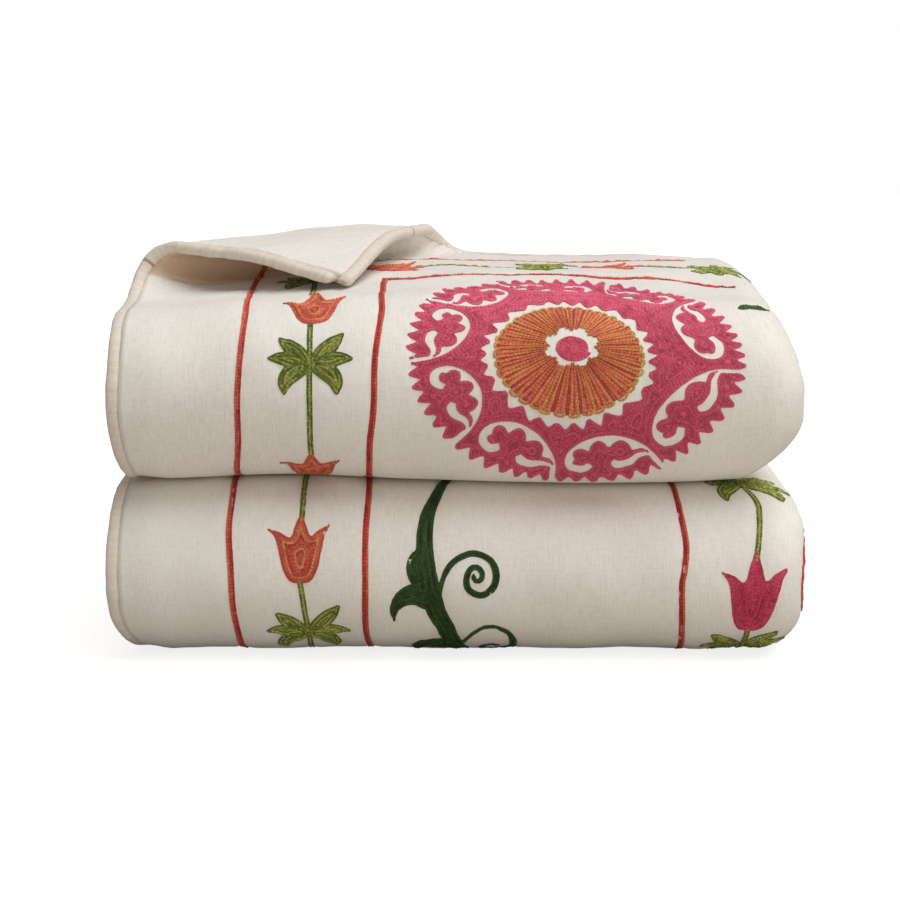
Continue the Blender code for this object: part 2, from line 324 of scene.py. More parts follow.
# Where the crease, the lower bundle's top and its base come on the front face, in millimetres
CREASE_AT = FRONT_FACE[2] * 1000
LOWER_AT = FRONT_FACE[5] * 1000
BASE_AT = FRONT_FACE[6] * 1000


def flat_places(points, face):
    """(u, v) in metres for artwork places in millimetres: x across, y down the face."""
    points = np.asarray(points, float) / 1000
    return points[..., 0], np.interp(points[..., 1], face, V_MARKS)


# ---- Unevenness ----


def ripples(x, y, wavelength, seed, waves=7):
    """Soft noise of about -1 to 1: a sum of sines in seeded directions about one wavelength."""
    random = np.random.default_rng(seed)
    total = 0.0
    for _ in range(waves):
        turn = random.uniform(0, math.pi)
        k = 2 * math.pi / (wavelength * random.uniform(0.7, 1.5))
        start = random.uniform(0, 2 * math.pi)
        total = total + np.sin(k * (x * math.cos(turn) + y * math.sin(turn)) + start)
    return total / math.sqrt(waves * 1.4)


class Density:
    """How closely stitched the face is, 0 to 1, on a blurred map of the flat sheet."""

    def __init__(self, cell=0.003):
        self.cell = cell
        self.map = np.zeros((int(FLAT_WIDTH / cell) + 2, int(FLAT_LENGTH / cell) + 2))

    def add(self, u, v):
        """Counts the stitches at these places into their cells."""
        rows = np.clip((u / self.cell).astype(int), 0, self.map.shape[0] - 1)
        columns = np.clip((v / self.cell).astype(int), 0, self.map.shape[1] - 1)
        np.add.at(self.map, (rows, columns), 1.0)

    def finish(self):
        """Two passes of a short blur each way over how full each cell is of stitches."""
        kernel = np.array((0.25, 0.5, 0.25))
        grid = np.minimum(self.map, 1.2) / 1.2
        for axis in (0, 1, 0, 1):
            grid = np.apply_along_axis(np.convolve, axis, grid, kernel, mode="same")
        self.map = grid

    def at(self, u, v):
        """The map between its cells' middles, by straight-line shares."""
        x = np.clip(u / self.cell - 0.5, 0, self.map.shape[0] - 1.001)
        y = np.clip(v / self.cell - 0.5, 0, self.map.shape[1] - 1.001)
        i, j = x.astype(int), y.astype(int)
        a, b = x - i, y - j
        top = self.map[i, j] * (1 - a) + self.map[i + 1, j] * a
        low = self.map[i, j + 1] * (1 - a) + self.map[i + 1, j + 1] * a
        return top * (1 - b) + low * b


STITCHED = Density()


# The main creases of the face: places along each in millimetres, how deep and how wide
CREASES = (
    (((-6, 177), (15, 172), (57, 168), (92, 156), (106, 134)), 2.6, 1.9),
    (((-6, 228), (40, 236), (100, 243), (150, 247)), 0.8, 8.0),
    (((60, 262), (130, 270), (210, 262)), 0.5, 9.0),
    (((521, 318), (526, 390), (515, 462)), 0.8, 9.0),
    (((548, 330), (550, 400), (541, 470)), 0.6, 7.0),
    (((215, 30), (232, 60), (240, 86)), 1.0, 6.0),
    (((236, 20), (256, 48), (268, 74)), 0.8, 5.0),
)


def crease_depth(u, v):
    """How far the face sinks in its main creases: a bell curve of the distance to each."""
    x, y = u * 1000, np.interp(v, V_MARKS, FRONT_FACE) * 1000
    depth = 0.0
    for places, deep, wide in CREASES:
        near = np.full(np.shape(x), np.inf)
        for (ax, ay), (bx, by) in zip(places, places[1:]):
            dx, dy = bx - ax, by - ay
            share = np.clip(((x - ax) * dx + (y - ay) * dy) / (dx * dx + dy * dy), 0, 1)
            near = np.minimum(near, np.hypot(x - ax - share * dx, y - ay - share * dy))
        depth = depth + deep / 1000 * np.exp(-((near / wide) ** 2))
    return depth


def face_relief(u, v):
    """Height of the face over its plain thickness.

    It sinks where it is closely stitched, puckers at the rims of the stitching, swells
    slowly elsewhere, and gathers under the binding where the turned corner rolls over.
    The plies inside are pressed flat.
    """
    density = STITCHED.at(u, v)
    rim = 4 * density * (1 - density)
    sink = -0.0011 * smooth(density, 0.05, 0.8)
    pucker = 0.00045 * rim * ripples(u, v, 0.011, 3)
    swell = 0.0009 * ripples(u, v, 0.075, 5) + 0.0003 * ripples(u, v, 0.026, 8)
    reach = smooth(v, 0.075, 0.004) * smooth(u, 0.10, 0.16) * smooth(u, 0.31, 0.27)
    gathers = 0.0016 * reach * np.sin(2 * math.pi * (u + 0.12 * v) / 0.0105 + 2 * ripples(u, v, 0.05, 9))
    inset = np.minimum(u, v)
    seam = 0.0005 * smooth(inset, 0.022, 0.003) * ripples(u, v, 0.009, 12)
    calm = smooth(v, V_MARKS[1] + 0.13, V_MARKS[1] + 0.10)
    calm = calm + smooth(v, V_MARKS[5] - 0.01, V_MARKS[5] + 0.02)
    free = smooth(u, U_MARKS[2] + 0.01, U_MARKS[2] - 0.02)
    relief = sink + pucker + (swell + seam) * np.clip(calm, 0.15, 1) + gathers - crease_depth(u, v)
    return relief * free


# How far apart the quilting lines of the reverse lie, in metres
QUILTING = 0.034


def reverse_relief(u, v):
    """The same for the reverse, which shows on the turned corner: slow swells, a puckered seam
    along its edges, and narrow quilting troughs, each a bell curve across.
    """
    inset = np.minimum(u, v)
    seam = 0.0007 * smooth(inset, 0.026, 0.003) * ripples(u, v, 0.010, 21)
    across = (u * ROLL_ON_SIDE + v * ROLL_ON_END) / math.hypot(ROLL_ON_SIDE, ROLL_ON_END)
    off_line = (across + 0.5 * QUILTING) % QUILTING - 0.5 * QUILTING
    quilting = -0.0006 * np.exp(-((off_line / 0.0035) ** 2))
    return corner_share(u, v) * (0.0007 * ripples(u, v, 0.06, 22) + seam + quilting)


def on_face(u, v, lift):
    """A place on the embroidered face, lifted off it."""
    height = thickness(u, v) / 2 + face_relief(u, v) + lift
    return folded(u, v) + face_normal(u, v) * height[..., None]


# ---- Meshes ----


def new_mesh(name, points, faces, materials, uv=None, slots=None, tints_and_shades=None):
    """A piece from whole arrays: points, then faces of three or four corners each."""
    mesh = bpy.data.meshes.new(name)
    faces = np.asarray(faces, np.int32)
    corners = faces.shape[1]
    mesh.vertices.add(len(points))
    mesh.vertices.foreach_set("co", np.asarray(points, np.float32).ravel())
    mesh.loops.add(faces.size)
    mesh.loops.foreach_set("vertex_index", faces.ravel())
    mesh.polygons.add(len(faces))
    mesh.polygons.foreach_set("loop_start", np.arange(0, faces.size, corners, dtype=np.int32))
    mesh.update(calc_edges=True)
    mesh.validate()
    if uv is not None:
        layer = mesh.uv_layers.new(name="flat")
        layer.data.foreach_set("uv", np.asarray(uv, np.float32)[faces.ravel()].ravel())
    # Colour and painted shade at each point
    if tints_and_shades is not None:
        colours = mesh.color_attributes.new(name="tint_and_shade", type="FLOAT_COLOR", domain="POINT")
        filled = np.concatenate((tints_and_shades, np.ones((len(tints_and_shades), 1))), axis=1)
        colours.data.foreach_set("color", filled.astype(np.float32).ravel())
    for finish in materials:
        mesh.materials.append(finish)
    if slots is not None:
        mesh.polygons.foreach_set("material_index", np.asarray(slots, np.int32))
    mesh.shade_smooth()
    piece = bpy.data.objects.new(name, mesh)
    bpy.context.scene.collection.objects.link(piece)
    return piece


def grid_faces(rows, columns, closed=False):
    """Four-cornered faces of a rows by columns grid of points, its columns closed or open."""
    across = columns if closed else columns - 1
    i, j = np.meshgrid(np.arange(rows - 1), np.arange(across), indexing="ij")
    here, ahead = (i * columns + j).ravel(), (i * columns + (j + 1) % columns).ravel()
    return np.stack((here, ahead, ahead + columns, here + columns), 1)


def stations(ends, steps):
    """Places along a line through the given ends, each stretch cut to about its own step."""
    pieces = []
    for first, last, step in zip(ends, ends[1:], steps):
        count = max(1, round((last - first) / step))
        pieces.append(np.linspace(first, last, count + 1)[:-1])
    return np.concatenate((*pieces, ends[-1:]))


# The cloth's grid in metres: where its first stretches start, up to the first fold, and the step of
# each stretch. It is fine on the outer ply, at the turned corner and in the folds, and coarse inside.
ACROSS_STARTS = (0.0, 0.195, 0.300)
ACROSS_STEPS = (0.0042, 0.0033, 0.0042, 0.0052, 0.021, 0.0045, 0.030, 0.0045, 0.030)
DOWN_STARTS = (0.0, 0.030, 0.225)
DOWN_STEPS = (0.0028, 0.0026, 0.0046, 0.0031, 0.0245, 0.0080, 0.0245, 0.0037, 0.0245)


def painted_warm_shade(u, v):
    """How much of each colour the cloth lacks, as painted shade: a brown painted shadow under
    the turned corner and warm painted shade along the crease, with easy slopes at the rims of both.
    """
    x, y = u * 1000, np.interp(v, V_MARKS, FRONT_FACE) * 1000
    edge = np.interp(x, (-6, 15, 57, 92, 106, 170), (177, 172, 168, 156, 134, 100))
    # Painted shadow just below the turned corner's edge
    under = smooth(y, edge + 0.8, edge - 2.2) * smooth(x, 150, 95)
    crease = CREASE_AT - 3
    # Painted shade on both sides of the crease between the two bundles
    crease_shade = smooth(y, crease - 5, crease + 1) * smooth(y, crease + 24, crease + 10)
    crease_shade = crease_shade + smooth(y, LOWER_AT - 24, LOWER_AT - 10) * smooth(y, LOWER_AT + 9, LOWER_AT + 1)
    painted_shade = under[..., None] * (0.20, 0.38, 0.53) + crease_shade[..., None] * (0.0, 0.07, 0.15)
    return np.clip(painted_shade, 0, 1)


def quilt_mesh(name, face_finish, reverse_finish):
    """The filled cloth: one grid for the face, one for the reverse, and a rim that joins them."""
    across = stations(np.concatenate((ACROSS_STARTS, U_MARKS[1:])), ACROSS_STEPS)
    down = stations(np.concatenate((DOWN_STARTS, V_MARKS[1:])), DOWN_STEPS)
    u, v = np.meshgrid(across, down, indexing="ij")
    rows, columns = u.shape
    middle = folded(u, v)
    normal = face_normal(u, v)
    half = thickness(u, v) / 2
    face = middle + normal * (half + face_relief(u, v))[..., None]
    reverse = middle - normal * (half + reverse_relief(u, v))[..., None]
    quads = grid_faces(rows, columns)
    count = rows * columns
    index = np.arange(count).reshape(rows, columns)
    rim = np.concatenate((index[0, :-1], index[:-1, -1], index[-1, :0:-1], index[:0:-1, 0]))
    after = np.roll(rim, -1)
    sides = np.stack((rim, after, after + count, rim + count), 1)
    faces = np.concatenate((quads, quads[:, ::-1] + count, sides[:, ::-1]))
    points = np.concatenate((face.reshape(-1, 3), reverse.reshape(-1, 3)))
    flat = np.stack((u.ravel(), v.ravel()), 1)
    slots = np.repeat((0, 1, 0), (len(quads), len(quads), len(sides)))
    # The face carries the painted shade under the turned corner and along the crease; the reverse carries
    # none
    tint_and_shade = 1 - painted_warm_shade(u, v).reshape(-1, 3)
    tints_and_shades = np.concatenate((tint_and_shade, np.ones_like(tint_and_shade)))
    finishes = (face_finish, reverse_finish)
    return new_mesh(name, points, faces, finishes, np.tile(flat, (2, 1)), slots, tints_and_shades)


# ---- Binding ----

# The strips' steps where they show and between the plies, and where their lengths are joined
STRIP_STEP = 0.0016
HIDDEN_STRIP_STEP = 0.012
JOIN_AT = 0.192


def binding_stations(marks, shows):
    """Places along an edge: close together where it shows, wide apart between the plies."""
    return stations(marks, [STRIP_STEP if seen else HIDDEN_STRIP_STEP for seen in shows])


def binding_mesh(name, u, v, out_u, out_v, finish, phase):
    """A strip rolled over an edge.

    The edge runs through (u, v), and (out_u, out_v) points out of the cloth. Around each
    place goes a squared oval that holds the edge, and it is drawn in to the seam line.
    Soft gathers cross it at about every seven millimetres. It narrows to a mitre at its first
    end, and has a seam where two lengths of it are joined.
    """
    step = 0.001
    edge = folded(u, v)
    run = unit(np.gradient(edge, axis=0))
    out = edge - folded(u - out_u * step, v - out_v * step)
    out = unit(out - (out * run).sum(axis=1, keepdims=True) * run)
    square = unit(np.cross(run, out))
    length = np.concatenate(((0.0,), np.cumsum(np.linalg.norm(np.diff(edge, axis=0), axis=1))))
    turn = np.linspace(0, 2 * math.pi, 16, endpoint=False)
    cosine, sine = np.cos(turn), np.sin(turn)
    round_out = np.sign(cosine) * np.abs(cosine) ** 0.85
    round_up = np.sign(sine) * np.abs(sine) ** 0.85
    s = length[:, None]
    gathers = np.sin(2 * math.pi * s / 0.0071 + 1.7 * ripples(s, 0 * s, 0.03, phase) + 0.6 * sine)
    lumps = ripples(s, 0 * s, 0.022, phase + 1)
    swell = 1 + 0.022 * gathers + 0.07 * lumps
    middle, half_width, half_height = 0.0043, 0.0063, 0.0051
    across = middle + half_width * round_out * (1 + 0.03 * lumps)
    drawn_in = 1 - 0.30 * smooth(-round_out, 0.35, 1.0)
    height = half_height * round_up * drawn_in * swell
    mitre = 0.22 + 0.78 * smooth(s, 0.0, 0.011)
    seam = np.exp(-(((s - JOIN_AT) / 0.0014) ** 2))
    height = height * mitre * (1 - 0.18 * seam)
    across = across * (0.5 + 0.5 * mitre)
    points = edge[:, None] + out[:, None] * across[..., None] + square[:, None] * height[..., None]
    rows, columns = points.shape[:2]
    faces = grid_faces(rows, columns, closed=True)
    ends = np.stack((points[0].mean(axis=0), points[-1].mean(axis=0)))
    first = np.arange(columns)
    last = first + (rows - 1) * columns
    tips = np.full(columns, rows * columns)
    start_fan = np.stack((tips, first, np.roll(first, -1)), 1)
    end_fan = np.stack((tips + 1, np.roll(last, -1), last), 1)
    quads = faces[:, ::-1]
    girth = 2 * math.pi * 0.0055
    uv = np.stack((np.repeat(length, columns), np.tile(turn / (2 * math.pi) * girth, rows)), 1)
    uv = np.concatenate((uv, ((length[0], 0), (length[-1], 0))))
    # Painted shade, warmer the darker it is: darker in the gathers' troughs, and a dark seam line with
    # painted shade in its hollow where the strip is drawn in
    depth = 0.5 + 0.5 * gathers
    shade = 1 - 0.06 * (1 - depth) - 0.42 * smooth(-round_out, 0.60, 0.95)
    # Darker at the join of two lengths, a dark seam with painted shade in its groove, and at the mitred tip,
    # frayed brown ends with painted shade in the mitre's fold; the two end points are in painted shade too
    shade = shade * (1 - 0.6 * seam) * (1 - 0.5 * np.exp(-((s / 0.004) ** 2)))
    shade = np.concatenate((np.broadcast_to(shade, (rows, columns)).ravel(), (0.8, 0.8)))
    tint_and_shade = shade[:, None] ** (1, 1.3, 1.7)
    points = np.concatenate((points.reshape(-1, 3), ends))
    triangles = np.concatenate((quads[:, (0, 1, 2)], quads[:, (0, 2, 3)], start_fan, end_fan))
    return new_mesh(name, points, triangles, (finish,), uv, None, tint_and_shade)


# ---- Outlines of the motifs, in millimetres, y down the sheet ----


def curve_through(points, closed=False, steps=6):
    """A smooth line through points: each stretch is a cubic whose ends follow their neighbours."""
    points = np.asarray(points, float)
    if closed:
        padded = np.concatenate((points[-1:], points, points[:2]))
    else:
        padded = np.concatenate((2 * points[:1] - points[1:2], points, 2 * points[-1:] - points[-2:-1]))
    t = np.linspace(0, 1, steps, endpoint=False)[None, :, None]
    a, b, c, d = (padded[i : len(padded) - 3 + i, None] for i in range(4))
    line = 0.5 * (2 * b + (c - a) * t + (2 * a - 5 * b + 4 * c - d) * t**2 + (3 * b - a - 3 * c + d) * t**3)
    line = line.reshape(-1, points.shape[1])
    return line if closed else np.concatenate((line, points[-1:]))


def placed(points, at, turn=0.0, scale=1.0):
    """Turned clockwise on the sheet by turn degrees, scaled, and moved to its place."""
    angle = math.radians(turn)
    matrix = np.array(((math.cos(angle), -math.sin(angle)), (math.sin(angle), math.cos(angle))))
    return np.asarray(points, float) * scale @ matrix.T + np.asarray(at, float)


def blade(spine, half_widths):
    """A closed outline about a spine: the half widths are spread evenly along its length."""
    line = curve_through(spine, False, 6)
    steps = np.linalg.norm(np.diff(line, axis=0), axis=1)
    along = np.concatenate(((0.0,), np.cumsum(steps))) / steps.sum()
    width = curve_through([(w, 0) for w in half_widths], False, 8)[:, 0]
    width = np.maximum(np.interp(along, np.linspace(0, 1, len(width)), width), 0.15)[:, None]
    run = unit(np.gradient(line, axis=0))
    side = run[:, ::-1] * (-1, 1)
    return np.concatenate((line + side * width, (line - side * width)[::-1]))


# The tulip stands on (0, 0) and points up the sheet: a middle petal between two that bend out
TULIP = (
    (-6, -0.4), (-12.2, -8), (-15.6, -20), (-18.4, -33), (-21.2, -39), (-25.4, -43.6), (-16, -41.6),
    (-7.4, -37.2), (-4.2, -47), (-1.2, -55), (0.5, -58.4), (2.2, -55), (5.4, -47), (9, -38.6),
    (15, -44), (23.6, -48.2), (20.6, -40), (18, -28), (14.6, -12), (8, -1.2),
)
# One leaf of a pair about their stem at (0, 0), in three lobes
LEAF_LOBES = (
    (((0, 0), (8, -7), (17, -15), (26.5, -24)), (3, 6.0, 7.0, 5.2, 0.8)),
    (((0, 0), (12, -2.5), (24, -4.5), (35, -4)), (3, 6.4, 7.0, 5.0, 0.8)),
    (((0, 1), (8, 4), (16, 9.5), (20.5, 17), (21.0, 27.5)), (4.5, 7.6, 8.0, 5.6, 0.9)),
)
# The dark vine about (0, 0) on its stem, down the sheet
VINE_STEM = (
    ((25, -130), (18, -111), (8.5, -76), (2.5, -56), (0, -34), (1, -13), (4, 8), (8.7, 29),
     (12.8, 40), (16.9, 50), (20, 64), (30, 100)),
    (3.8, 4.0, 4.9, 6.3, 7.2, 8.3, 7.7, 7.5, 8.0),
)
VINE_LOBES = (
    (((0, -24), (-7, -17), (-8.6, -6), (-5, 6)), (1.5, 5.2, 6.0, 5.5)),
    (((8, 22), (-5, 15.5), (-17, 18.5), (-24.5, 29), (-25, 42)), (10.5, 10.6, 9.2, 6.2, 3.2, 0.5)),
    (((24, 85), (12, 82), (0, 84), (-9, 98)), (10, 12, 11.5, 8.0, 1.0)),
)
VINE_CURLS = (
    (((11.6, 22), (12.8, 12), (14.6, 2.2), (20.5, -10), (30, -17.4), (41, -20.4), (53.4, -14.3),
      (57.9, -2.9), (55.2, 9.4), (45.6, 16.2), (35.9, 10.8), (33.8, 1.4), (36.8, -6.7), (41.8, -8.9),
      (46.4, -4.6), (46.2, 1.0), (42.8, 3.8), (39.9, 1.6), (39.7, -1.4), (41.4, -2.8)),
     (1.2, 1.8, 2.3, 2.6, 2.7, 2.7, 2.9, 3.0, 2.8, 2.6, 2.4, 2.1, 1.7)),
    (((31, 78), (35, 67), (40.5, 57.5), (47, 51), (54.4, 48.5), (61.5, 50.8), (67.4, 56.5),
      (71.6, 66), (72.6, 84), (64, 99), (51, 97), (46.6, 88), (54, 80), (62, 85)),
     (1.7, 1.9, 2.2, 2.4, 3.2, 3.3, 3.0, 2.6, 2.2)),
)


def channel(spine, widths, scallops):
    """A curved bare channel: left and right of a spine, its inner side bitten by round lobes."""
    line = curve_through(spine, False, 9)
    along = np.linspace(0, 1, len(line))
    width = np.interp(along, np.linspace(0, 1, len(widths)), widths)
    run = unit(np.gradient(line, axis=0))
    side = run[:, ::-1] * (1, -1)
    lobes = np.abs(np.sin(math.pi * along * scallops)) ** 0.8
    bitten = smooth(along, 0.20, 0.30) * smooth(along, 0.88, 0.78) if scallops else 0
    inner = width * (1 + bitten * (0.35 - 1.75 * lobes))
    return np.concatenate((line + side * width[:, None], (line - side * inner[:, None])[::-1]))


# Places in one part of the ring: share of the way from its middle to its side, and radius
CHANNEL = ((0.97, 1.06), (0.95, 0.96), (0.88, 0.85), (0.66, 0.765), (0.30, 0.705), (-0.12, 0.690),
           (-0.50, 0.715), (-0.76, 0.780), (-0.74, 0.855), (-0.50, 0.878), (-0.32, 0.840))
CHANNEL_WIDTHS = (1.9, 2.2, 2.8, 4.4, 5.2, 5.4, 5.0, 4.2, 3.6, 3.8, 3.2)
HOOK = ((0.90, 0.865), (0.70, 0.845), (0.46, 0.870), (0.24, 0.865), (0.14, 0.835))
HOOK_WIDTHS = (1.0, 2.4, 3.4, 4.0, 2.6)
# The middle of each part of the ring, in degrees clockwise on the sheet
PART_TURNS = (37, 78, 117, 153, 192, 223, 260, 305, 343)
PARTS = len(PART_TURNS)
# How far the disc lies off the ring's middle, and the petals' rim off the disc, in millimetres
HEART = np.array((-4.0, 0.0))
EYE = np.array((-2.0, 9.0))


def ring_outlines(radius, seed=4):
    """The raspberry ring: its rim of pointed teeth, and what is left bare inside the rim.

    That is the toothed round in the middle and nine curled channels, each with a hook.
    """
    random = np.random.default_rng(seed)
    rim_teeth, inner_teeth = 7 * PARTS, 3 * PARTS
    turn = np.linspace(0, 2 * math.pi, rim_teeth * 7, endpoint=False)
    teeth = (turn / (2 * math.pi) * rim_teeth + 0.12 * np.sin(7 * turn)) % 1
    rim = radius * (1.028 - 0.085 * np.abs(2 * teeth - 1) ** 1.1 + 0.010 * np.sin(5 * turn + 1))
    inner_turn = np.linspace(0, 2 * math.pi, inner_teeth * 8, endpoint=False)
    saw = (inner_turn / (2 * math.pi) * inner_teeth + 0.25 * np.sin(4 * inner_turn)) % 1
    deep = 0.070 + 0.016 * np.sin(5 * inner_turn + 2)
    inner = radius * (0.536 - deep * np.where(saw < 0.62, saw / 0.62, (1 - saw) / 0.38))
    inner = np.stack((inner * np.cos(inner_turn), inner * np.sin(inner_turn)), 1)
    bare = [[inner + HEART + EYE]]
    turns = np.radians((PART_TURNS[-1] - 360, *PART_TURNS, PART_TURNS[0] + 360))
    for part in range(PARTS):
        size = random.uniform(0.95, 1.05)
        for table, widths, scallops in ((CHANNEL, CHANNEL_WIDTHS, 7), (HOOK, HOOK_WIDTHS, 0)):
            share, reach = np.array(table).T
            angle = np.interp(part + 1 - 0.485 * share * size, np.arange(PARTS + 2), turns)
            spine = np.stack((np.cos(angle), np.sin(angle)), 1) * (radius * reach)[:, None]
            bare.append([channel(spine[::-1], widths[::-1], scallops)])
    return [[np.stack((rim * np.cos(turn), rim * np.sin(turn)), 1)]], bare


# ---- Rows of chain stitch ----

# Loops of fewer points than this are too short to be worked as a row
SHORTEST_LOOP = 10
# How far in from a motif's edge its ground starts, in millimetres
GROUND_INSET = 0.35


def inside_distance(outlines, xs, ys):
    """Distance in from the outlines on a grid, below 0 outside: the nearest of all their sides."""
    starts = np.concatenate(outlines).astype(np.float32)
    ends = np.concatenate([np.roll(line, -1, axis=0) for line in outlines]).astype(np.float32)
    side = ends - starts
    squared = np.maximum((side**2).sum(axis=1), 1e-9)
    x, y = np.meshgrid(xs, ys, indexing="ij")
    places = np.stack((x.ravel(), y.ravel()), 1).astype(np.float32)
    signed = np.empty(len(places), np.float32)
    block = max(1, 3_000_000 // len(starts))
    for first in range(0, len(places), block):
        px = places[first : first + block, 0, None] - starts[None, :, 0]
        py = places[first : first + block, 1, None] - starts[None, :, 1]
        t = np.clip((px * side[:, 0] + py * side[:, 1]) / squared, 0, 1)
        near = ((px - t * side[:, 0]) ** 2 + (py - t * side[:, 1]) ** 2).min(axis=1)
        straddles = (py < 0) != (py < side[:, 1])
        slope = side[:, 0] / np.where(np.abs(side[:, 1]) < 1e-9, 1e-9, side[:, 1])
        crossings = (straddles & (px < py * slope)).sum(axis=1)
        signed[first : first + block] = np.sqrt(near) * np.where(crossings % 2, 1, -1)
    return signed.reshape(x.shape)


# For each pattern of corners above the level, the pairs of cell sides that the line joins
CELL_SIDES = {1: (3, 0), 2: (0, 1), 3: (3, 1), 4: (1, 2), 6: (0, 2), 7: (3, 2), 8: (2, 3), 9: (2, 0),
              11: (2, 1), 12: (1, 3), 13: (1, 0), 14: (0, 3)}
CELL_SADDLES = {5: ((3, 2), (1, 0)), 10: ((0, 3), (2, 1))}


def level_loops(field, level, xs, ys):
    """Closed lines where the field passes the level: one crossing on each cut side of a grid."""
    f = field - level
    f[f == 0] = 1e-6
    rows, columns = f.shape
    above = f > 0
    code = above[:-1, :-1] * 1 + above[1:, :-1] * 2 + above[1:, 1:] * 4 + above[:-1, 1:] * 8
    offset = rows * columns

    def side_ids(i, j, side):
        along_x, along_y = i * columns + j, offset + i * columns + j
        return (along_x, along_y + columns, along_x + 1, along_y)[side]

    pairs = []
    for pattern in range(1, 15):
        i, j = np.nonzero(code == pattern)
        for first, second in CELL_SADDLES.get(pattern, (CELL_SIDES.get(pattern),)):
            pairs.append(np.stack((side_ids(i, j, first), side_ids(i, j, second)), 1))
    links = {}
    for one, other in np.concatenate(pairs).tolist():
        links.setdefault(one, []).append(other)
        links.setdefault(other, []).append(one)
    loops = []
    while links:
        start, ends = links.popitem()
        loop, back, here = [start], start, ends[0]
        while here != start and here in links:
            loop.append(here)
            ahead = links.pop(here)
            back, here = here, ahead[1] if ahead[0] == back else ahead[0]
        loops.append(crossing_places(f, np.array(loop), offset, xs, ys))
    return loops


def crossing_places(f, ids, offset, xs, ys):
    """Where the field is 0 along each cut grid side, by straight-line shares."""
    along_y = ids >= offset
    i, j = np.divmod(np.where(along_y, ids - offset, ids), f.shape[1])
    i2 = np.minimum(i + ~along_y, f.shape[0] - 1)
    j2 = np.minimum(j + along_y, f.shape[1] - 1)
    share = f[i, j] / (f[i, j] - f[i2, j2])
    return np.stack((xs[i] + (xs[i2] - xs[i]) * share, ys[j] + (ys[j2] - ys[j]) * share), 1)


def from_block(grid, how, passes):
    """Each cell from its three-by-three block, by how (its mean or its highest), some passes over."""
    for _ in range(passes):
        for axis in (0, 1):
            grid = how((np.roll(grid, 1, axis), grid, np.roll(grid, -1, axis)), axis=0)
    return grid


def ridge_stitches(field, pitch, xs, ys, spacing=1.6, length=2.7):
    """Single stitches along the ridges of the field that its rows leave bare.

    A ridge is bare where it passes a whole row by less than half a row. The stitch lies
    along it, square to the way the field falls, and is as wide as the bare strip.
    """
    fall_x, fall_y = np.gradient(field, xs[1] - xs[0])
    number = np.floor(field / pitch)
    spare = field / pitch - number
    highest = from_block(field, np.max, math.ceil(0.5 * pitch / (xs[1] - xs[0])))
    bare = (field > 0.2 * pitch) & (spare > 0.07) & (spare < 0.6) & (highest < (number + 0.64) * pitch)
    i, j = np.nonzero(bare & (np.hypot(fall_x, fall_y) < 0.75))
    if not len(i):
        return []
    xx, xy, yy = (from_block(part, np.mean, 2)[i, j] for part in (fall_x**2, fall_x * fall_y, fall_y**2))
    angle = 0.5 * np.arctan2(2 * xy, xx - yy) + math.pi / 2
    highest_first = np.argsort(-field[i, j])
    block = (xs[i] // spacing).astype(int) * 10000 + (ys[j] // spacing).astype(int)
    chosen = highest_first[np.unique(block[highest_first], return_index=True)[1]]
    reach = 0.5 * length * np.stack((np.cos(angle), np.sin(angle)), 1)[chosen]
    middle = np.stack((xs[i], ys[j]), 1)[chosen]
    wide = np.clip(2.3 * spare[i, j][chosen] * pitch, 0.4 * pitch, 1.05 * pitch)
    lines = np.stack((middle - reach, middle + reach), 1)
    return list(zip(number[i, j][chosen].astype(int), lines, wide))


class Filling:
    """A motif filled with rows that follow its outlines inward.

    Each shape is a list of outlines. The shapes are joined, so a place belongs to the shape
    that it is deepest in, and what is bare is taken out of them. Farther in than a row and a
    half, the rows follow the blurred outline, as a worker evens them out.
    """

    def __init__(self, shapes, cell, bare=(), even=0):
        everything = np.concatenate([line for outlines in shapes for line in outlines])
        low, high = everything.min(axis=0) - 2 * cell, everything.max(axis=0) + 2 * cell
        self.xs = np.arange(low[0], high[0] + cell, cell)
        self.ys = np.arange(low[1], high[1] + cell, cell)
        self.field = np.maximum.reduce([inside_distance(lines, self.xs, self.ys) for lines in shapes])
        for lines in bare:
            self.field = np.minimum(self.field, -inside_distance(lines, self.xs, self.ys))
        self.even = even

    def rows(self, pitch):
        """Each row's number from the edge, its line and its width, the single stitches with them."""
        blurred = from_block(self.field, np.mean, self.even)
        share = smooth(self.field, 1.2 * pitch, 2.4 * pitch)
        field = self.field + (blurred - self.field) * share
        found = ridge_stitches(field, pitch, self.xs, self.ys)
        for number in range(int(field.max() / pitch + 0.5) + 1):
            level = (number + 0.5) * pitch
            if field.max() > level:
                loops = level_loops(field.copy(), level, self.xs, self.ys)
                loops = [loop for loop in loops if len(loop) >= SHORTEST_LOOP]
                found += [(number, np.concatenate((loop, loop[:1])), pitch) for loop in loops]
        return found

    def ground(self, cell, inset):
        """Square patches of the filled area, each wholly farther in than the inset: their corners."""
        x, y = np.arange(self.xs[0], self.xs[-1], cell), np.arange(self.ys[0], self.ys[-1], cell)
        i = np.clip(np.searchsorted(self.xs, x), 0, len(self.xs) - 1)
        j = np.clip(np.searchsorted(self.ys, y), 0, len(self.ys) - 1)
        deep = self.field[np.ix_(i, j)] > inset
        a, b = np.nonzero(deep[:-1, :-1] & deep[1:, :-1] & deep[1:, 1:] & deep[:-1, 1:])
        corners = ((a, b), (a + 1, b), (a + 1, b + 1), (a, b + 1))
        return np.stack([np.stack((x[p], y[q]), 1) for p, q in corners], 1)


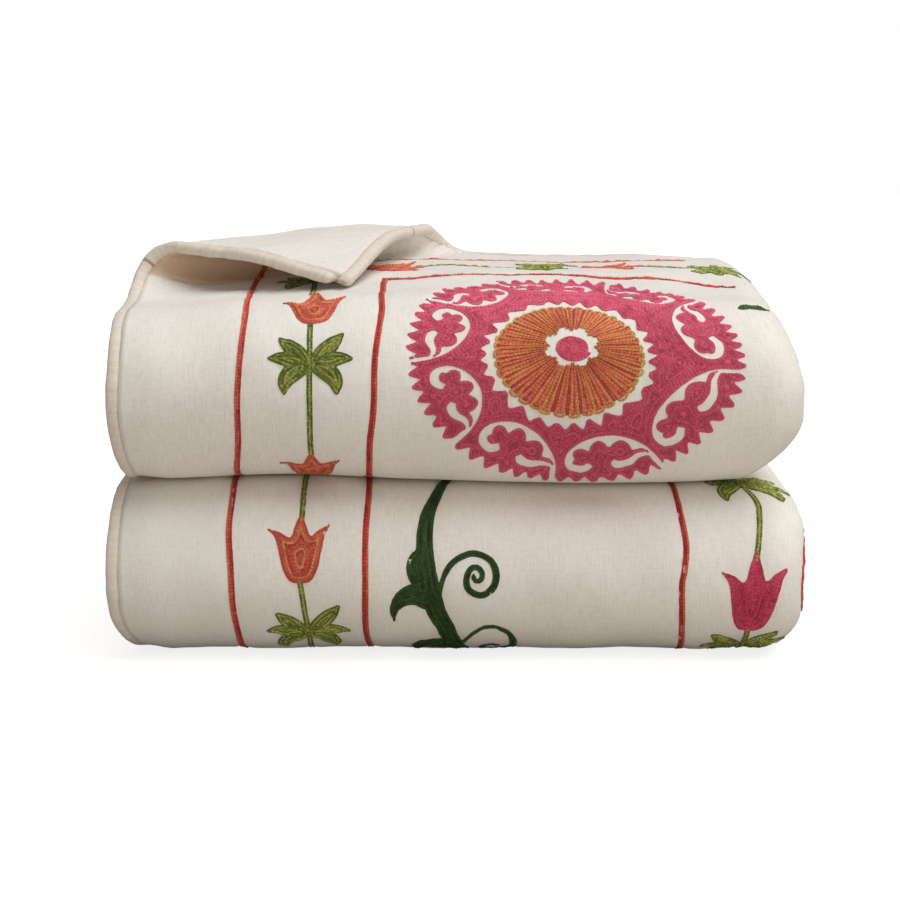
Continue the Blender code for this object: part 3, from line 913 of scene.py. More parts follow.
def spine_rows(line, half_widths, pitch):
    """Rows beside a spine: as many, a pitch apart, as its width holds at each place."""
    line = np.asarray(line, float)
    run = unit(np.gradient(line, axis=0))
    side = run[:, ::-1] * (-1, 1)
    width = np.interp(np.linspace(0, 1, len(line)), np.linspace(0, 1, len(half_widths)), half_widths)
    count = max(1, round(2 * width.max() / pitch))
    rows = []
    for number in range(count):
        offset = (number - (count - 1) / 2) * pitch
        held = np.flatnonzero(np.abs(offset) < width - 0.3 * pitch + 1e-6)
        for piece in np.split(held, np.flatnonzero(np.diff(held) > 1) + 1):
            if len(piece) > 1:
                rows.append((number, (line + side * offset)[piece]))
    return rows


def stitch_row(line, length):
    """A row cut into equal stitches: where each starts and where it ends."""
    lengths = np.concatenate(((0.0,), np.cumsum(np.linalg.norm(np.diff(line, axis=0), axis=1))))
    count = int(round(lengths[-1] / length))
    if count < 1 or lengths[-1] < 0.6 * length:
        return None
    marks = np.linspace(0, lengths[-1], count + 1)
    places = np.stack((np.interp(marks, lengths, line[:, 0]), np.interp(marks, lengths, line[:, 1])), 1)
    return places[:-1], places[1:]


class Thread:
    """The rows worked in one colour of thread, gathered until they are made into one mesh."""

    def __init__(self, name, light, dark, mix):
        self.name = name
        self.light = np.array(light)
        self.dark = np.array(dark)
        self.mix = mix
        self.rows = []
        self.patches = []

    def work(self, line, width, face=FRONT_FACE, share=None):
        """Adds a row: its line in millimetres, its width or widths, and its share of dark."""
        self.rows.append((line, width, face, self.mix if share is None else share))


def fill(threads, names, shares, shapes, move, pitch, cell, face=FRONT_FACE, bare=(), even=0, patch=0.9):
    """Works a filled motif, the rows in turn in the named threads, and lays a ground under it.

    move carries the motif's own places to the sheet. cell and patch are the sizes in millimetres
    of the grid that the rows are read from and of the ground's squares.
    """
    filling = Filling(shapes, cell, bare, even)
    for number, row, width in filling.rows(pitch):
        turn = number % len(names)
        threads[names[turn]].work(move(row), width, face, shares[turn])
    threads[names[-1]].patches.append((move(filling.ground(patch, GROUND_INSET)), face))


# One stitch: a flat bed of thread, then two strands that part and close again, each a ridge of
# eight three-cornered faces. Shares of the stitch's length, of its row's width and of its height.
BED = np.array([(-0.06, -0.5, 0.22), (1.06, -0.5, 0.22), (1.06, 0.5, 0.22), (-0.06, 0.5, 0.22)])
BED_FACES = np.array([(0, 1, 2), (0, 2, 3)])
STRAND = np.array([
    (-0.16, 0.05, 0.10), (0.20, 0.02, 0.06), (0.22, 0.26, 0.74), (0.20, 0.53, -0.02),
    (0.76, 0.02, 0.16), (0.74, 0.28, 0.86), (0.76, 0.53, 0.04), (1.18, 0.12, 0.30),
])
STRAND_FACES = np.array([
    (0, 2, 1), (0, 3, 2), (1, 2, 5), (1, 5, 4), (2, 3, 6), (2, 6, 5), (4, 5, 7), (5, 6, 7),
])
PARTS_OF_STITCH = (len(STRAND), len(STRAND), len(BED))
# How light each corner of a strand is, with painted highlights along its ridge and painted shade in the
# valleys at its edges, and the bed's four corners after both strands, in painted shade
STRAND_SHADE = (0.78, 0.64, 1.30, 0.36, 0.68, 1.34, 0.36, 0.88)
STITCH_SHADE = np.array((*STRAND_SHADE, *STRAND_SHADE, 0.42, 0.42, 0.42, 0.42))
# The ground under filled motifs: how far it lies off the cloth in metres, and how light it is, the thread's
# colour in painted shade between the rows
GROUND_LIFT = 0.0003
GROUND_SHADE = 0.275
# Up to this share of the way to the roll, the turned corner hides its own face
HIDDEN_SHARE = 0.72


def stitches_of(thread, length, seed):
    """All of a thread's stitches as arrays: starts, ends, widths, shares of dark, and faces."""
    random = np.random.default_rng(seed)
    groups = []
    for line, width, face, share in thread.rows:
        cut = stitch_row(line, length)
        if cut is None:
            continue
        start, end = cut
        number = len(start)
        if np.ndim(width):
            width = np.interp(np.linspace(0, 1, number), np.linspace(0, 1, len(width)), width)
        slow = np.sin(np.arange(number) * random.uniform(0.25, 0.7) + random.uniform(0, 6.3))
        dark = share + 0.35 * slow * min(share, 1 - share) * 2 + 0.16 * random.standard_normal(number)
        dark = dark + 0.16 * random.standard_normal()
        groups.append((start, end, np.broadcast_to(width, number), np.clip(dark, 0, 1), face))
    return groups


def thread_mesh(thread, finish, length, height, seed):
    """The stitches of one thread: the bed and strands of each, laid along its own line on the face."""
    groups = stitches_of(thread, length, seed)
    random = np.random.default_rng(seed + 100)
    template = np.concatenate((STRAND, STRAND * (1, -1, 1), BED))
    stitch_faces = np.concatenate((
        STRAND_FACES, STRAND_FACES[:, ::-1] + len(STRAND), BED_FACES + 2 * len(STRAND),
    ))
    points, tints_and_shades = [], []
    for face in (FRONT_FACE, REAR_FACE):
        chosen = [group for group in groups if group[4] is face]
        if not chosen:
            continue
        start, end, width, dark = (np.concatenate([group[i] for group in chosen]) for i in range(4))
        u, v = flat_places((start + end) / 2, face)
        hidden = (u / ROLL_ON_END + v / ROLL_ON_SIDE < HIDDEN_SHARE) & (face is FRONT_FACE)
        start, end, width, dark = (values[~hidden] for values in (start, end, width, dark))
        run = end - start
        across = unit(run)[:, ::-1] * (-1, 1)
        jitter = 1 + 0.06 * random.standard_normal((len(start), 1))
        places = (
            start[:, None]
            + run[:, None] * template[None, :, :1]
            + across[:, None] * (template[None, :, 1:2] * width[:, None, None] * jitter[:, None])
        )
        u, v = flat_places(places, face)
        lift = template[None, :, 2] * height * (1 + 0.12 * random.standard_normal((len(start), 1)))
        points.append(on_face(u, v, lift).reshape(-1, 3))
        shares = np.repeat(dark[:, None], 3, 1)
        shares = shares + (0.18, 0.18, 0) * random.standard_normal((len(dark), 3))
        colours = thread.light + (thread.dark - thread.light) * np.clip(shares, 0, 1)[..., None]
        colours = colours * (1 + 0.06 * random.standard_normal((*shares.shape, 1)))
        # Each corner's colour times its painted highlight or painted shade
        colours = np.repeat(colours, PARTS_OF_STITCH, 1) * STITCH_SHADE[:, None]
        tints_and_shades.append(np.clip(colours, 0, 1).reshape(-1, 3))
    points = np.concatenate(points)
    stitches = len(points) // len(template)
    faces = (stitch_faces[None] + np.arange(stitches)[:, None, None] * len(template)).reshape(-1, 3)
    for corners, face in thread.patches:
        u, v = flat_places(corners, face)
        first = len(points) + 4 * np.arange(len(corners))[:, None, None]
        ground = on_face(u, v, np.full(u.shape, GROUND_LIFT)).reshape(-1, 3)
        points = np.concatenate((points, ground))
        # The ground is the thread's colour in painted shade
        tints_and_shades.append(np.broadcast_to(GROUND_SHADE * (thread.light + thread.dark), ground.shape))
        faces = np.concatenate((faces, (first + BED_FACES[None]).reshape(-1, 3)))
    return new_mesh(thread.name, points, faces, (finish,), None, None, np.concatenate(tints_and_shades))


# ---- Where the embroidery lies, in millimetres from the turned corner ----

MEDALLION_AT = np.array((372, 358))
MEDALLION_RADIUS = 138.2
RED_LINE = ("orange", "red", "red")
ORANGE_LINE = ("red", "rust", "orange")
STEM_SHARES = (0.95, 0.15, 0.95)
VINE_SHARES = (0.25, 0.6)
# The threads of a tulip's rows in turn from the edge, and the share of dark in each
PETALS = {
    "rust": (("orange", "rust", "gold", "rust"), (0.8, 0.4, 0.75, 0.7)),
    "magenta": (("magenta", "magenta"), (0.3, 0.6)),
}


def wandering(points, seed, amount=0.7):
    """A hand-worked line: it wanders a little to the side."""
    points = np.asarray(points, float)
    return points + amount * np.stack((
        ripples(points[:, 0], points[:, 1], 60, seed),
        ripples(points[:, 1], points[:, 0], 60, seed + 1),
    ), 1)


def straight(start, end, seed, amount):
    """A straight line cut about every four millimetres, then set wandering."""
    start, end = np.asarray(start, float), np.asarray(end, float)
    count = max(2, int(np.linalg.norm(end - start) / 4))
    share = np.linspace(0, 1, count)[:, None]
    return wandering(start + (end - start) * share, seed, amount)


def work_line(threads, names, points, pitch, face=FRONT_FACE, shares=(None, None, None)):
    """As many rows side by side along a line as there are names of threads."""
    for number, row in spine_rows(points, (0.5 * len(names) * pitch,) * 2, pitch):
        threads[names[number]].work(row, 1.04 * pitch, face, shares[number])


def work_stem(threads, points, seed, face=FRONT_FACE):
    """A stem: two dark rows with a light one between them."""
    line = wandering(curve_through(points, False, 10), seed, 0.4)
    work_line(threads, ("leaf",) * 3, line, 1.5, face, STEM_SHARES)


def work_tulip(threads, at, turn, scale, petals, pitch, face=FRONT_FACE):
    """A tulip in contour rows: scale is how wide, how tall in the middle and at the sides."""
    wide, tall, side_tall = scale
    outline = curve_through(TULIP, True, 5)
    middle = np.exp(-((outline[:, :1] / 6.5) ** 2))
    heights = side_tall + (tall - side_tall) * middle
    outline = outline * np.concatenate((np.full_like(middle, wide), heights), 1)
    names, shares = PETALS[petals]
    move = lambda row: placed(row, at, turn)
    fill(threads, names, shares, [[outline]], move, 0.86 * pitch, 0.5, face)


def work_leaves(threads, at, turn, scale, lean, pitch, face=FRONT_FACE):
    """A pair of leaves of three lobes each in contour rows, dark, with light ones between.

    lean is how much farther up the upper right lobe reaches than the upper left one.
    """
    shapes = []
    for number, (spine, widths) in enumerate(LEAF_LOBES):
        for flip in (1, -1):
            taller = 1 + lean if (number, flip) == (0, 1) else 1
            lobe = np.array(spine) * (scale * flip, scale * taller)
            shapes.append([blade(lobe, np.array(widths) * scale)[::flip]])
    move = lambda row: placed(row, at, turn)
    fill(threads, ("leaf",) * 2, (1.0, 0.35), shapes, move, 0.74 * pitch, 0.45, face)


def spiral(centre, start_radius, end_radius, start_turn, turns, count=70):
    """A spiral whose radius shrinks evenly with its turning."""
    share = np.linspace(0, 1, count)
    angle = math.radians(start_turn) + 2 * math.pi * turns * share
    radius = start_radius + (end_radius - start_radius) * share**0.85
    return np.stack((centre[0] + radius * np.cos(angle), centre[1] + radius * np.sin(angle)), 1)


def work_vine(threads, at, pitch, flip=1, face=FRONT_FACE):
    """The dark vine: a swelling stem with curled lobes on one side and curls on the other."""
    shapes = []
    for spine, widths in (VINE_STEM, *VINE_LOBES, *VINE_CURLS):
        shapes.append([blade(np.array(spine) * (flip, 1), widths)[::flip]])
    move = lambda row: placed(row, at)
    fill(threads, ("vine",) * 2, VINE_SHARES, shapes, move, pitch, 0.7, face, even=4)


def drawn_in(points, at, radius):
    """The round is drawn in down the sheet, most of all near its middle."""
    points = np.asarray(points, float)
    down = points[..., 1] * (0.80 + 0.22 * (points[..., 1] / radius) ** 2)
    return np.stack((points[..., 0], down), -1) + np.asarray(at, float)


def work_medallion(threads, at, radius, pitch):
    """A saw-toothed ring with curled channels, a ring of petals, a bare star and a disc."""
    rim, bare = ring_outlines(radius)
    fill(threads, ("raspberry",) * 2, (0.1, 0.6), rim, lambda row: drawn_in(row, at, radius), pitch, 0.8,
         bare=bare, even=10, patch=1.5)
    at = at + HEART
    petals, inner, outer = 40, 24.5, 62.0
    circle = np.linspace(0, 2 * math.pi, 90, endpoint=False)
    circle = np.stack((np.cos(circle), np.sin(circle)), 1)
    ground = Filling([[circle * (outer - 0.5) + EYE]], 0.8, [[circle * (inner - 2)]]).ground(1.4, 0.4)
    threads["rust"].patches.append((drawn_in(ground, at, radius), FRONT_FACE))
    random = np.random.default_rng(17)
    half = math.pi / petals
    cap_turn = np.linspace(0, math.pi, 9)
    for petal in range(petals):
        eighth = (petal * 8 / petals) % 1
        start = inner - 6.0 * abs(2 * eighth - 1)
        turn = 2 * half * (petal + 0.16 * random.uniform(-1, 1))
        off = EYE @ (math.cos(turn), math.sin(turn))
        reach = off + math.sqrt(outer**2 - EYE @ EYE + off**2) + 0.8 * random.uniform(-1, 1)
        turn = math.degrees(turn)
        legs = np.linspace(start, reach - 3.6, 9)
        left = np.stack((legs, -0.5 * half * legs), 1)
        cap = (reach - 2.2 + 2.2 * np.sin(cap_turn), -0.86 * half * reach * np.cos(cap_turn))
        cap = np.stack(cap, 1)
        right = left[::-1] * (1, -1)
        narrow, wide = 0.42 * half * start, 0.42 * half * reach
        petal_line = placed(np.concatenate((left, cap, right)), (0, 0), turn)
        widths = (narrow, wide, wide, narrow)
        threads["gold"].work(drawn_in(petal_line, at, radius), widths, share=0.25)
        for side, share, inset in ((0, 0.35, 2.6), (half, 0.9, 4.0)):
            ends = np.linspace(start + 0.8, reach - inset, 9)[:, None]
            seam = placed(ends * (math.cos(side), math.sin(side)), (0, 0), turn)
            widths = (1.7 * narrow, 1.6 * wide)
            threads["rust"].work(drawn_in(seam, at, radius), widths, share=share)
    disc = spiral((0.5, 2), 14.6, 0.8, 20, 6.2, 300)
    threads["disc"].work(drawn_in(disc, at, radius), 2.35)


# The tip of a dark leaf at the upper right
SMALL_LEAF = ((517, 307), (524, 300), (531, 296), (538, 291), (545, 284))


def embroidery(threads, pitch):
    """Every motif that shows: on the outer ply, and on the ply that turns round the rear fold."""
    lines = (
        (ORANGE_LINE, ((100, 84), (99, 142), (97, 206), (101, 300), (100, 350), (97, 404), (96, 442),
                       (92, 489), (91, CREASE_AT + 6))),
        (RED_LINE, ((212, 196), (212, 318), (208, 370), (207, 404), (204, 440), (202, 483),
                    (201, CREASE_AT + 6))),
        (ORANGE_LINE, ((100, 86), (200, 87), (320, 85), (420, 87), (495, 90))),
        (RED_LINE, ((212, 198), (268, 201), (376, 198), (459, 198), (527, 206))),
        (ORANGE_LINE, ((92, LOWER_AT - 12), (91, 1134), (90, 1162), (92, 1196), (93, 1226), (96, 1268),
                       (98, BASE_AT + 6))),
        (RED_LINE, ((202, LOWER_AT - 12), (201, 1140), (200, 1186), (200, 1245), (202, 1282),
                    (203, BASE_AT + 6))),
        (RED_LINE, ((453, LOWER_AT - 12), (456, 1140), (459, 1173), (458, 1194), (456, 1214),
                    (459, 1276), (460, BASE_AT + 6))),
        (RED_LINE, ((580, LOWER_AT - 230), (578, LOWER_AT - 90), (574, LOWER_AT - 12), (568, 1140),
                    (561, 1180), (561, 1246), (570, 1290), (578, BASE_AT + 6), (580, BASE_AT + 90),
                    (582, BASE_AT + 240))),
    )
    for seed, (names, points) in enumerate(lines):
        work_line(threads, names, wandering(curve_through(points, False, 12), 11 + seed, 0.5), 1.65)
    whole = (1.0, 1.0, 1.0)
    stems = (
        ((152, 186), (153, 270)),
        ((155, 334), (155, 462)),
        ((150, LOWER_AT - 12), (148, 1154)),
        ((147, 1204), (150, 1230), (153, 1262), (153, BASE_AT + 6)),
        ((512, LOWER_AT - 12), (520, 1120), (520, 1150), (516, 1188)),
        ((512, 1252), (509, BASE_AT + 6)),
        ((250, 140), (386, 141)),
        ((446, 141), (548, 140)),
        ((180, 140), (196, 140)),
    )
    # Each tulip's place, turn in degrees, scale and threads
    tulips = (
        ((157, 334), 0, (1.05, 1.28, 0.80), "rust"),
        ((154, 517), 0, whole, "rust"),
        ((147, 1206), 0, whole, "rust"),
        ((512, 1254), 3, (1.05, 1.34, 1.3), "magenta"),
        ((194, 140), 90, (0.9, 1.0, 1.0), "rust"),
        ((388, 141), 90, (0.9, 1.05, 1.05), "rust"),
    )
    # Each pair of leaves' place, turn in degrees, scale and lean
    leaves = (
        ((152, 188), 0, 1.0, 0.0),
        ((156, 373), 0, 1.0, 0.14),
        ((153, 1257), 0, 1.0, 0.36),
        ((518, 1101), 0, 1.0, 0.1),
        ((509, 1283), 0, 1.0, 0.1),
        ((351, 140), 90, 0.9, 0.1),
        ((515, 141), 90, 0.85, 0.1),
    )
    for seed, points in enumerate(stems):
        work_stem(threads, points, 31 + seed)
    for at, turn, scale, petals in tulips:
        work_tulip(threads, at, turn, scale, petals, pitch)
    for at, turn, scale, lean in leaves:
        work_leaves(threads, at, turn, scale, lean, pitch)
    work_vine(threads, (248, 1200), pitch)
    work_medallion(threads, MEDALLION_AT, MEDALLION_RADIUS, pitch)
    small_leaf = [[blade(SMALL_LEAF, (0.6, 4.2, 5.6, 3.4, 0.6))]]
    fill(threads, ("vine",), (0.3,), small_leaf, lambda row: row, pitch, 0.6)
    work_side_and_rear(threads, pitch)


def work_side_and_rear(threads, pitch):
    """The folded end at the right and the rear fold carry on the same borders and vine."""
    for spine, widths in (
        (((598, 205), (592, 240), (590, 280), (596, 330), (598, 380), (588, 430)), (1.0, 4.5, 7, 7, 5, 0.8)),
        (spiral((619, 284), 19, 3, 150, 1.5), (3.0, 2.7, 3.1)),
    ):
        fill(threads, ("vine",) * 2, VINE_SHARES, [[blade(spine, widths)]], lambda row: row, pitch, 0.8)
    middle = REAR_FACE[3] * 1000 - 20
    end = REAR_FACE[4] * 1000 + 20
    for x, names in ((700, ORANGE_LINE), (812, RED_LINE), (1010, ORANGE_LINE)):
        work_line(threads, names, straight((x, middle), (x, end), x, 1.2), 1.9, REAR_FACE)
    for x, leaf_at, tulip_at, petals in ((756, 72, 210, "rust"), (1060, 210, 140, "magenta")):
        work_stem(threads, ((x, middle), (x, middle + tulip_at - 52)), x, REAR_FACE)
        work_stem(threads, ((x, middle + tulip_at), (x, end)), x + 1, REAR_FACE)
        work_tulip(threads, (x, middle + tulip_at), 0, (1.0, 1.0, 1.0), petals, pitch, REAR_FACE)
        work_leaves(threads, (x, middle + leaf_at), 0, 1.0, 0.15, pitch, REAR_FACE)
    work_vine(threads, (905, middle + 110), pitch, -1, REAR_FACE)


# ---- Finishes ----


def node_group(name, inputs, outputs):
    """An empty group with named sockets: its tree, its input node and its output node."""
    group = bpy.data.node_groups.new(name, "ShaderNodeTree")
    for label, kind, value in inputs:
        socket = group.interface.new_socket(name=label, in_out="INPUT", socket_type=kind)
        if value is not None:
            socket.default_value = value
    for label, kind in outputs:
        group.interface.new_socket(name=label, in_out="OUTPUT", socket_type=kind)
    return group, group.nodes.new("NodeGroupInput"), group.nodes.new("NodeGroupOutput")


def stretched_noise(group, vector, scale, size, detail=3.0):
    """Noise drawn out along one direction, as a thread or a slub is."""
    mapping = group.nodes.new("ShaderNodeMapping")
    mapping.inputs["Scale"].default_value = scale
    noise = group.nodes.new("ShaderNodeTexNoise")
    noise.inputs["Scale"].default_value = size
    noise.inputs["Detail"].default_value = detail
    noise.inputs["Roughness"].default_value = 0.6
    group.links.new(vector, mapping.inputs["Vector"])
    group.links.new(mapping.outputs["Vector"], noise.inputs["Vector"])
    return noise.outputs["Fac"]


def maths(group, operation, first, second):
    """One step of arithmetic on two numbers or sockets."""
    node = group.nodes.new("ShaderNodeMath")
    node.operation = operation
    for socket, value in zip(node.inputs, (first, second)):
        if isinstance(value, (int, float)):
            socket.default_value = value
        else:
            group.links.new(value, socket)
    return node.outputs[0]


def slubby_weave():
    """Plain weave of uneven threads: fine noise drawn out both ways, and longer, rarer slubs."""
    group, given, put = node_group(
        "slubby weave",
        (("Flat", "NodeSocketVector", None), ("Slub", "NodeSocketFloat", 0.5)),
        (("Tone", "NodeSocketFloat"), ("Height", "NodeSocketFloat")),
    )
    flat = given.outputs["Flat"]
    warp = stretched_noise(group, flat, (850, 130, 1), 1.0)
    weft = stretched_noise(group, flat, (130, 800, 1), 1.0)
    weave = maths(group, "ADD", maths(group, "MULTIPLY", warp, 0.62), maths(group, "MULTIPLY", weft, 0.38))
    long_slubs = stretched_noise(group, flat, (42, 900, 1), 1.0, 1.0)
    tall_slubs = stretched_noise(group, flat, (900, 36, 1), 1.0, 1.0)
    slubs = maths(group, "MULTIPLY", maths(group, "ADD", long_slubs, tall_slubs), 0.5)
    slubs = maths(group, "MULTIPLY", maths(group, "SUBTRACT", slubs, 0.5), given.outputs["Slub"])
    total = maths(group, "ADD", weave, slubs)
    slow = stretched_noise(group, flat, (7, 7, 1), 1.0, 2.0)
    tone = maths(group, "ADD", maths(group, "MULTIPLY", total, 0.75), maths(group, "MULTIPLY", slow, 0.25))
    group.links.new(tone, put.inputs["Tone"])
    group.links.new(total, put.inputs["Height"])
    return group


def principled(name):
    """A new material: itself, its tree and its shader."""
    made = bpy.data.materials.new(name)
    made.use_nodes = True
    return made, made.node_tree, made.node_tree.nodes["Principled BSDF"]


def colour_ramp(tree, factor, low, high, start, end):
    """The low colour up to start, the high one from end on, and a straight blend between."""
    ramp = tree.nodes.new("ShaderNodeValToRGB")
    ramp.color_ramp.elements[0].color = (*low, 1)
    ramp.color_ramp.elements[1].color = (*high, 1)
    ramp.color_ramp.elements[0].position = start
    ramp.color_ramp.elements[1].position = end
    tree.links.new(factor, ramp.inputs["Fac"])
    return ramp.outputs["Color"]


def bumped(tree, shader, height, strength, distance):
    """Tilts the shader's normal by a height, whose full range stands for the distance."""
    bump = tree.nodes.new("ShaderNodeBump")
    bump.inputs["Strength"].default_value = strength
    bump.inputs["Distance"].default_value = distance
    tree.links.new(height, bump.inputs["Height"])
    tree.links.new(bump.outputs["Normal"], shader.inputs["Normal"])


def carried_tint_and_shade(tree):
    """The colour and painted shade that a mesh carries at its points."""
    attribute = tree.nodes.new("ShaderNodeAttribute")
    attribute.attribute_name = "tint_and_shade"
    return attribute.outputs["Color"]


def multiplied(tree, first, second):
    """The product of two colours."""
    mix = tree.nodes.new("ShaderNodeMix")
    mix.data_type = "RGBA"
    mix.blend_type = "MULTIPLY"
    mix.inputs["Factor"].default_value = 1.0
    tree.links.new(first, mix.inputs["A"])
    tree.links.new(second, mix.inputs["B"])
    return mix.outputs["Result"]


def cotton(name, colour, shade, slub, weave, strength, tinted_and_shaded=False):
    """Cream cotton: the weave sets its tone and its bump, and painted shade carried at its points darkens it
    in hollows.
    """
    made, tree, shader = principled(name)
    flat = tree.nodes.new("ShaderNodeUVMap")
    flat.uv_map = "flat"
    cloth = tree.nodes.new("ShaderNodeGroup")
    cloth.node_tree = weave
    cloth.inputs["Slub"].default_value = slub
    tree.links.new(flat.outputs["UV"], cloth.inputs["Flat"])
    tone = colour_ramp(tree, cloth.outputs["Tone"], shade, colour, 0.34, 0.56)
    if tinted_and_shaded:
        tone = multiplied(tree, tone, carried_tint_and_shade(tree))
    tree.links.new(tone, shader.inputs["Base Color"])
    shader.inputs["Roughness"].default_value = 0.88
    shader.inputs["Sheen Weight"].default_value = 0.12
    shader.inputs["Sheen Roughness"].default_value = 0.5
    shader.inputs["Specular IOR Level"].default_value = 0.25
    bumped(tree, shader, cloth.outputs["Height"], strength, 0.0006)
    return made


def thread_finish(name, roughness, sheen):
    """Stranded thread: each strand's own tint, with fine twist noise in its tone and bump."""
    made, tree, shader = principled(name)
    place = tree.nodes.new("ShaderNodeTexCoord")
    noise = tree.nodes.new("ShaderNodeTexNoise")
    noise.inputs["Scale"].default_value = 900
    noise.inputs["Detail"].default_value = 2
    tree.links.new(place.outputs["Object"], noise.inputs["Vector"])
    grey = colour_ramp(tree, noise.outputs["Fac"], (0.80, 0.80, 0.80), (1.0, 1.0, 1.0), 0.3, 0.7)
    tree.links.new(multiplied(tree, carried_tint_and_shade(tree), grey), shader.inputs["Base Color"])
    shader.inputs["Roughness"].default_value = roughness
    shader.inputs["Sheen Weight"].default_value = sheen
    shader.inputs["Specular IOR Level"].default_value = 0.35
    bumped(tree, shader, noise.outputs["Fac"], 0.25, 0.0003)
    return made


def from_srgb(*values):
    """Linear colour from 0 to 255 screen values."""
    share = np.array(values) / 255
    return tuple(np.where(share <= 0.04045, share / 12.92, ((share + 0.055) / 1.055) ** 2.4))


# ---- Settings ----


class QuiltLooks(bpy.types.PropertyGroup):
    """Sizes and colours of the quilt's finish."""

    row_pitch: FloatProperty(name="Row pitch", description="Width of one row of chain stitch",
                             default=0.0022, unit="LENGTH")
    stitch_length: FloatProperty(name="Stitch length", description="Length of one chain stitch",
                                 default=0.0031, unit="LENGTH")
    stitch_height: FloatProperty(name="Stitch height", description="How far a stitch stands off the cloth",
                                 default=0.0013, unit="LENGTH")
    cotton: FloatVectorProperty(name="Cotton", description="Colour of the cream cotton", subtype="COLOR",
                                default=from_srgb(236, 230, 221))
    cotton_shade: FloatVectorProperty(name="Cotton shade", description="Cotton between its threads",
                                      subtype="COLOR", default=from_srgb(222, 213, 200))
    binding: FloatVectorProperty(name="Binding", description="Colour of the rolled binding", subtype="COLOR",
                                 default=from_srgb(229, 219, 206))
    binding_shade: FloatVectorProperty(name="Binding shade", description="Binding between its threads",
                                       subtype="COLOR", default=from_srgb(214, 201, 185))
    raspberry: FloatVectorProperty(name="Raspberry", description="Thread of the medallion's ring",
                                   subtype="COLOR", default=from_srgb(255, 98, 128))
    rust: FloatVectorProperty(name="Rust", description="Thread of the petals and the tulips",
                              subtype="COLOR", default=from_srgb(250, 118, 100))
    gold: FloatVectorProperty(name="Gold", description="Thread of the petals' outlines",
                              subtype="COLOR", default=from_srgb(250, 186, 84))
    leaf: FloatVectorProperty(name="Leaf green", description="Thread of the leaves and stems",
                              subtype="COLOR", default=from_srgb(212, 204, 110))
    vine: FloatVectorProperty(name="Vine green", description="Thread of the dark vine",
                              subtype="COLOR", default=from_srgb(58, 96, 26))


class StageLooks(bpy.types.PropertyGroup):
    """Camera, floor and light."""

    camera_height: FloatProperty(name="Camera height", description="Over the floor",
                                 default=0.501, unit="LENGTH")
    camera_distance: FloatProperty(name="Camera distance", description="In front of the front folds' axis",
                                   default=1.878, unit="LENGTH")
    camera_pitch: FloatProperty(name="Camera pitch", description="Downward tilt", default=math.radians(10),
                                subtype="ANGLE")
    lens: FloatProperty(name="Lens", description="Focal length in millimetres", default=90.16)
    key_light: FloatProperty(name="Key light", description="Strength of the wide soft light from above",
                             default=2.4)
    fill_light: FloatProperty(name="Fill light", description="Strength of the light from all round",
                              default=0.25)
    side_light: FloatProperty(name="Side light", default=1.8,
                              description="Power of the soft light from the right, in watts")
    front_light: FloatProperty(name="Front light", default=14.0,
                               description="Power of the wide low light in front, in watts")


def threads_for(looks):
    """The threads by name: light and dark end of each one's dye, and the usual share of dark."""
    made = (
        Thread("raspberry", looks.raspberry, 0.58 * np.array(looks.raspberry), 0.4),
        Thread("rust", looks.rust, from_srgb(200, 56, 66), 0.45),
        Thread("gold", looks.gold, from_srgb(226, 124, 66), 0.3),
        Thread("magenta", from_srgb(250, 86, 118), from_srgb(188, 46, 76), 0.45),
        Thread("disc", from_srgb(255, 112, 138), from_srgb(232, 78, 106), 0.35),
        Thread("red", from_srgb(228, 78, 68), from_srgb(182, 36, 46), 0.5),
        Thread("orange", from_srgb(246, 138, 88), from_srgb(220, 84, 64), 0.45),
        Thread("leaf", looks.leaf, from_srgb(84, 114, 20), 0.7),
        Thread("vine", looks.vine, from_srgb(20, 36, 8), 0.4),
    )
    return {thread.name: thread for thread in made}


# ---- Operators ----


class QUILT_OT_stitch(bpy.types.Operator):
    """Works the embroidery: one mesh of chain stitches for each thread"""

    bl_idname = "quilt.stitch"
    bl_label = "Work the embroidery"

    def execute(self, context):
        looks = context.scene.quilt_looks
        threads = threads_for(looks)
        embroidery(threads, looks.row_pitch * 1000)
        for number, thread in enumerate(threads.values()):
            for start, end, _, _, face in stitches_of(thread, looks.stitch_length * 1000, number):
                STITCHED.add(*flat_places((start + end) / 2, face))
        STITCHED.finish()
        for number, thread in enumerate(threads.values()):
            finish = thread_finish(f"{thread.name} thread", 0.6, 0.05)
            thread.name = f"embroidery_{thread.name}"
            piece = thread_mesh(thread, finish, looks.stitch_length * 1000, looks.stitch_height, number)
            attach(piece, "root")
        return {"FINISHED"}


class QUILT_OT_cloth(bpy.types.Operator):
    """Folds the filled cloth, with its face and its plain reverse"""

    bl_idname = "quilt.cloth"
    bl_label = "Fold the cloth"

    def execute(self, context):
        looks = context.scene.quilt_looks
        weave = slubby_weave()
        face = cotton("slubby cotton face", looks.cotton, looks.cotton_shade, 0.22, weave, 0.6, tinted_and_shaded=True)
        reverse = cotton("plain cotton reverse", looks.cotton, looks.cotton_shade, 0.2, weave, 0.35)
        piece = quilt_mesh("folded_cloth", face, reverse)
        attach(piece, "root")
        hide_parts("quilt")
        return {"FINISHED"}


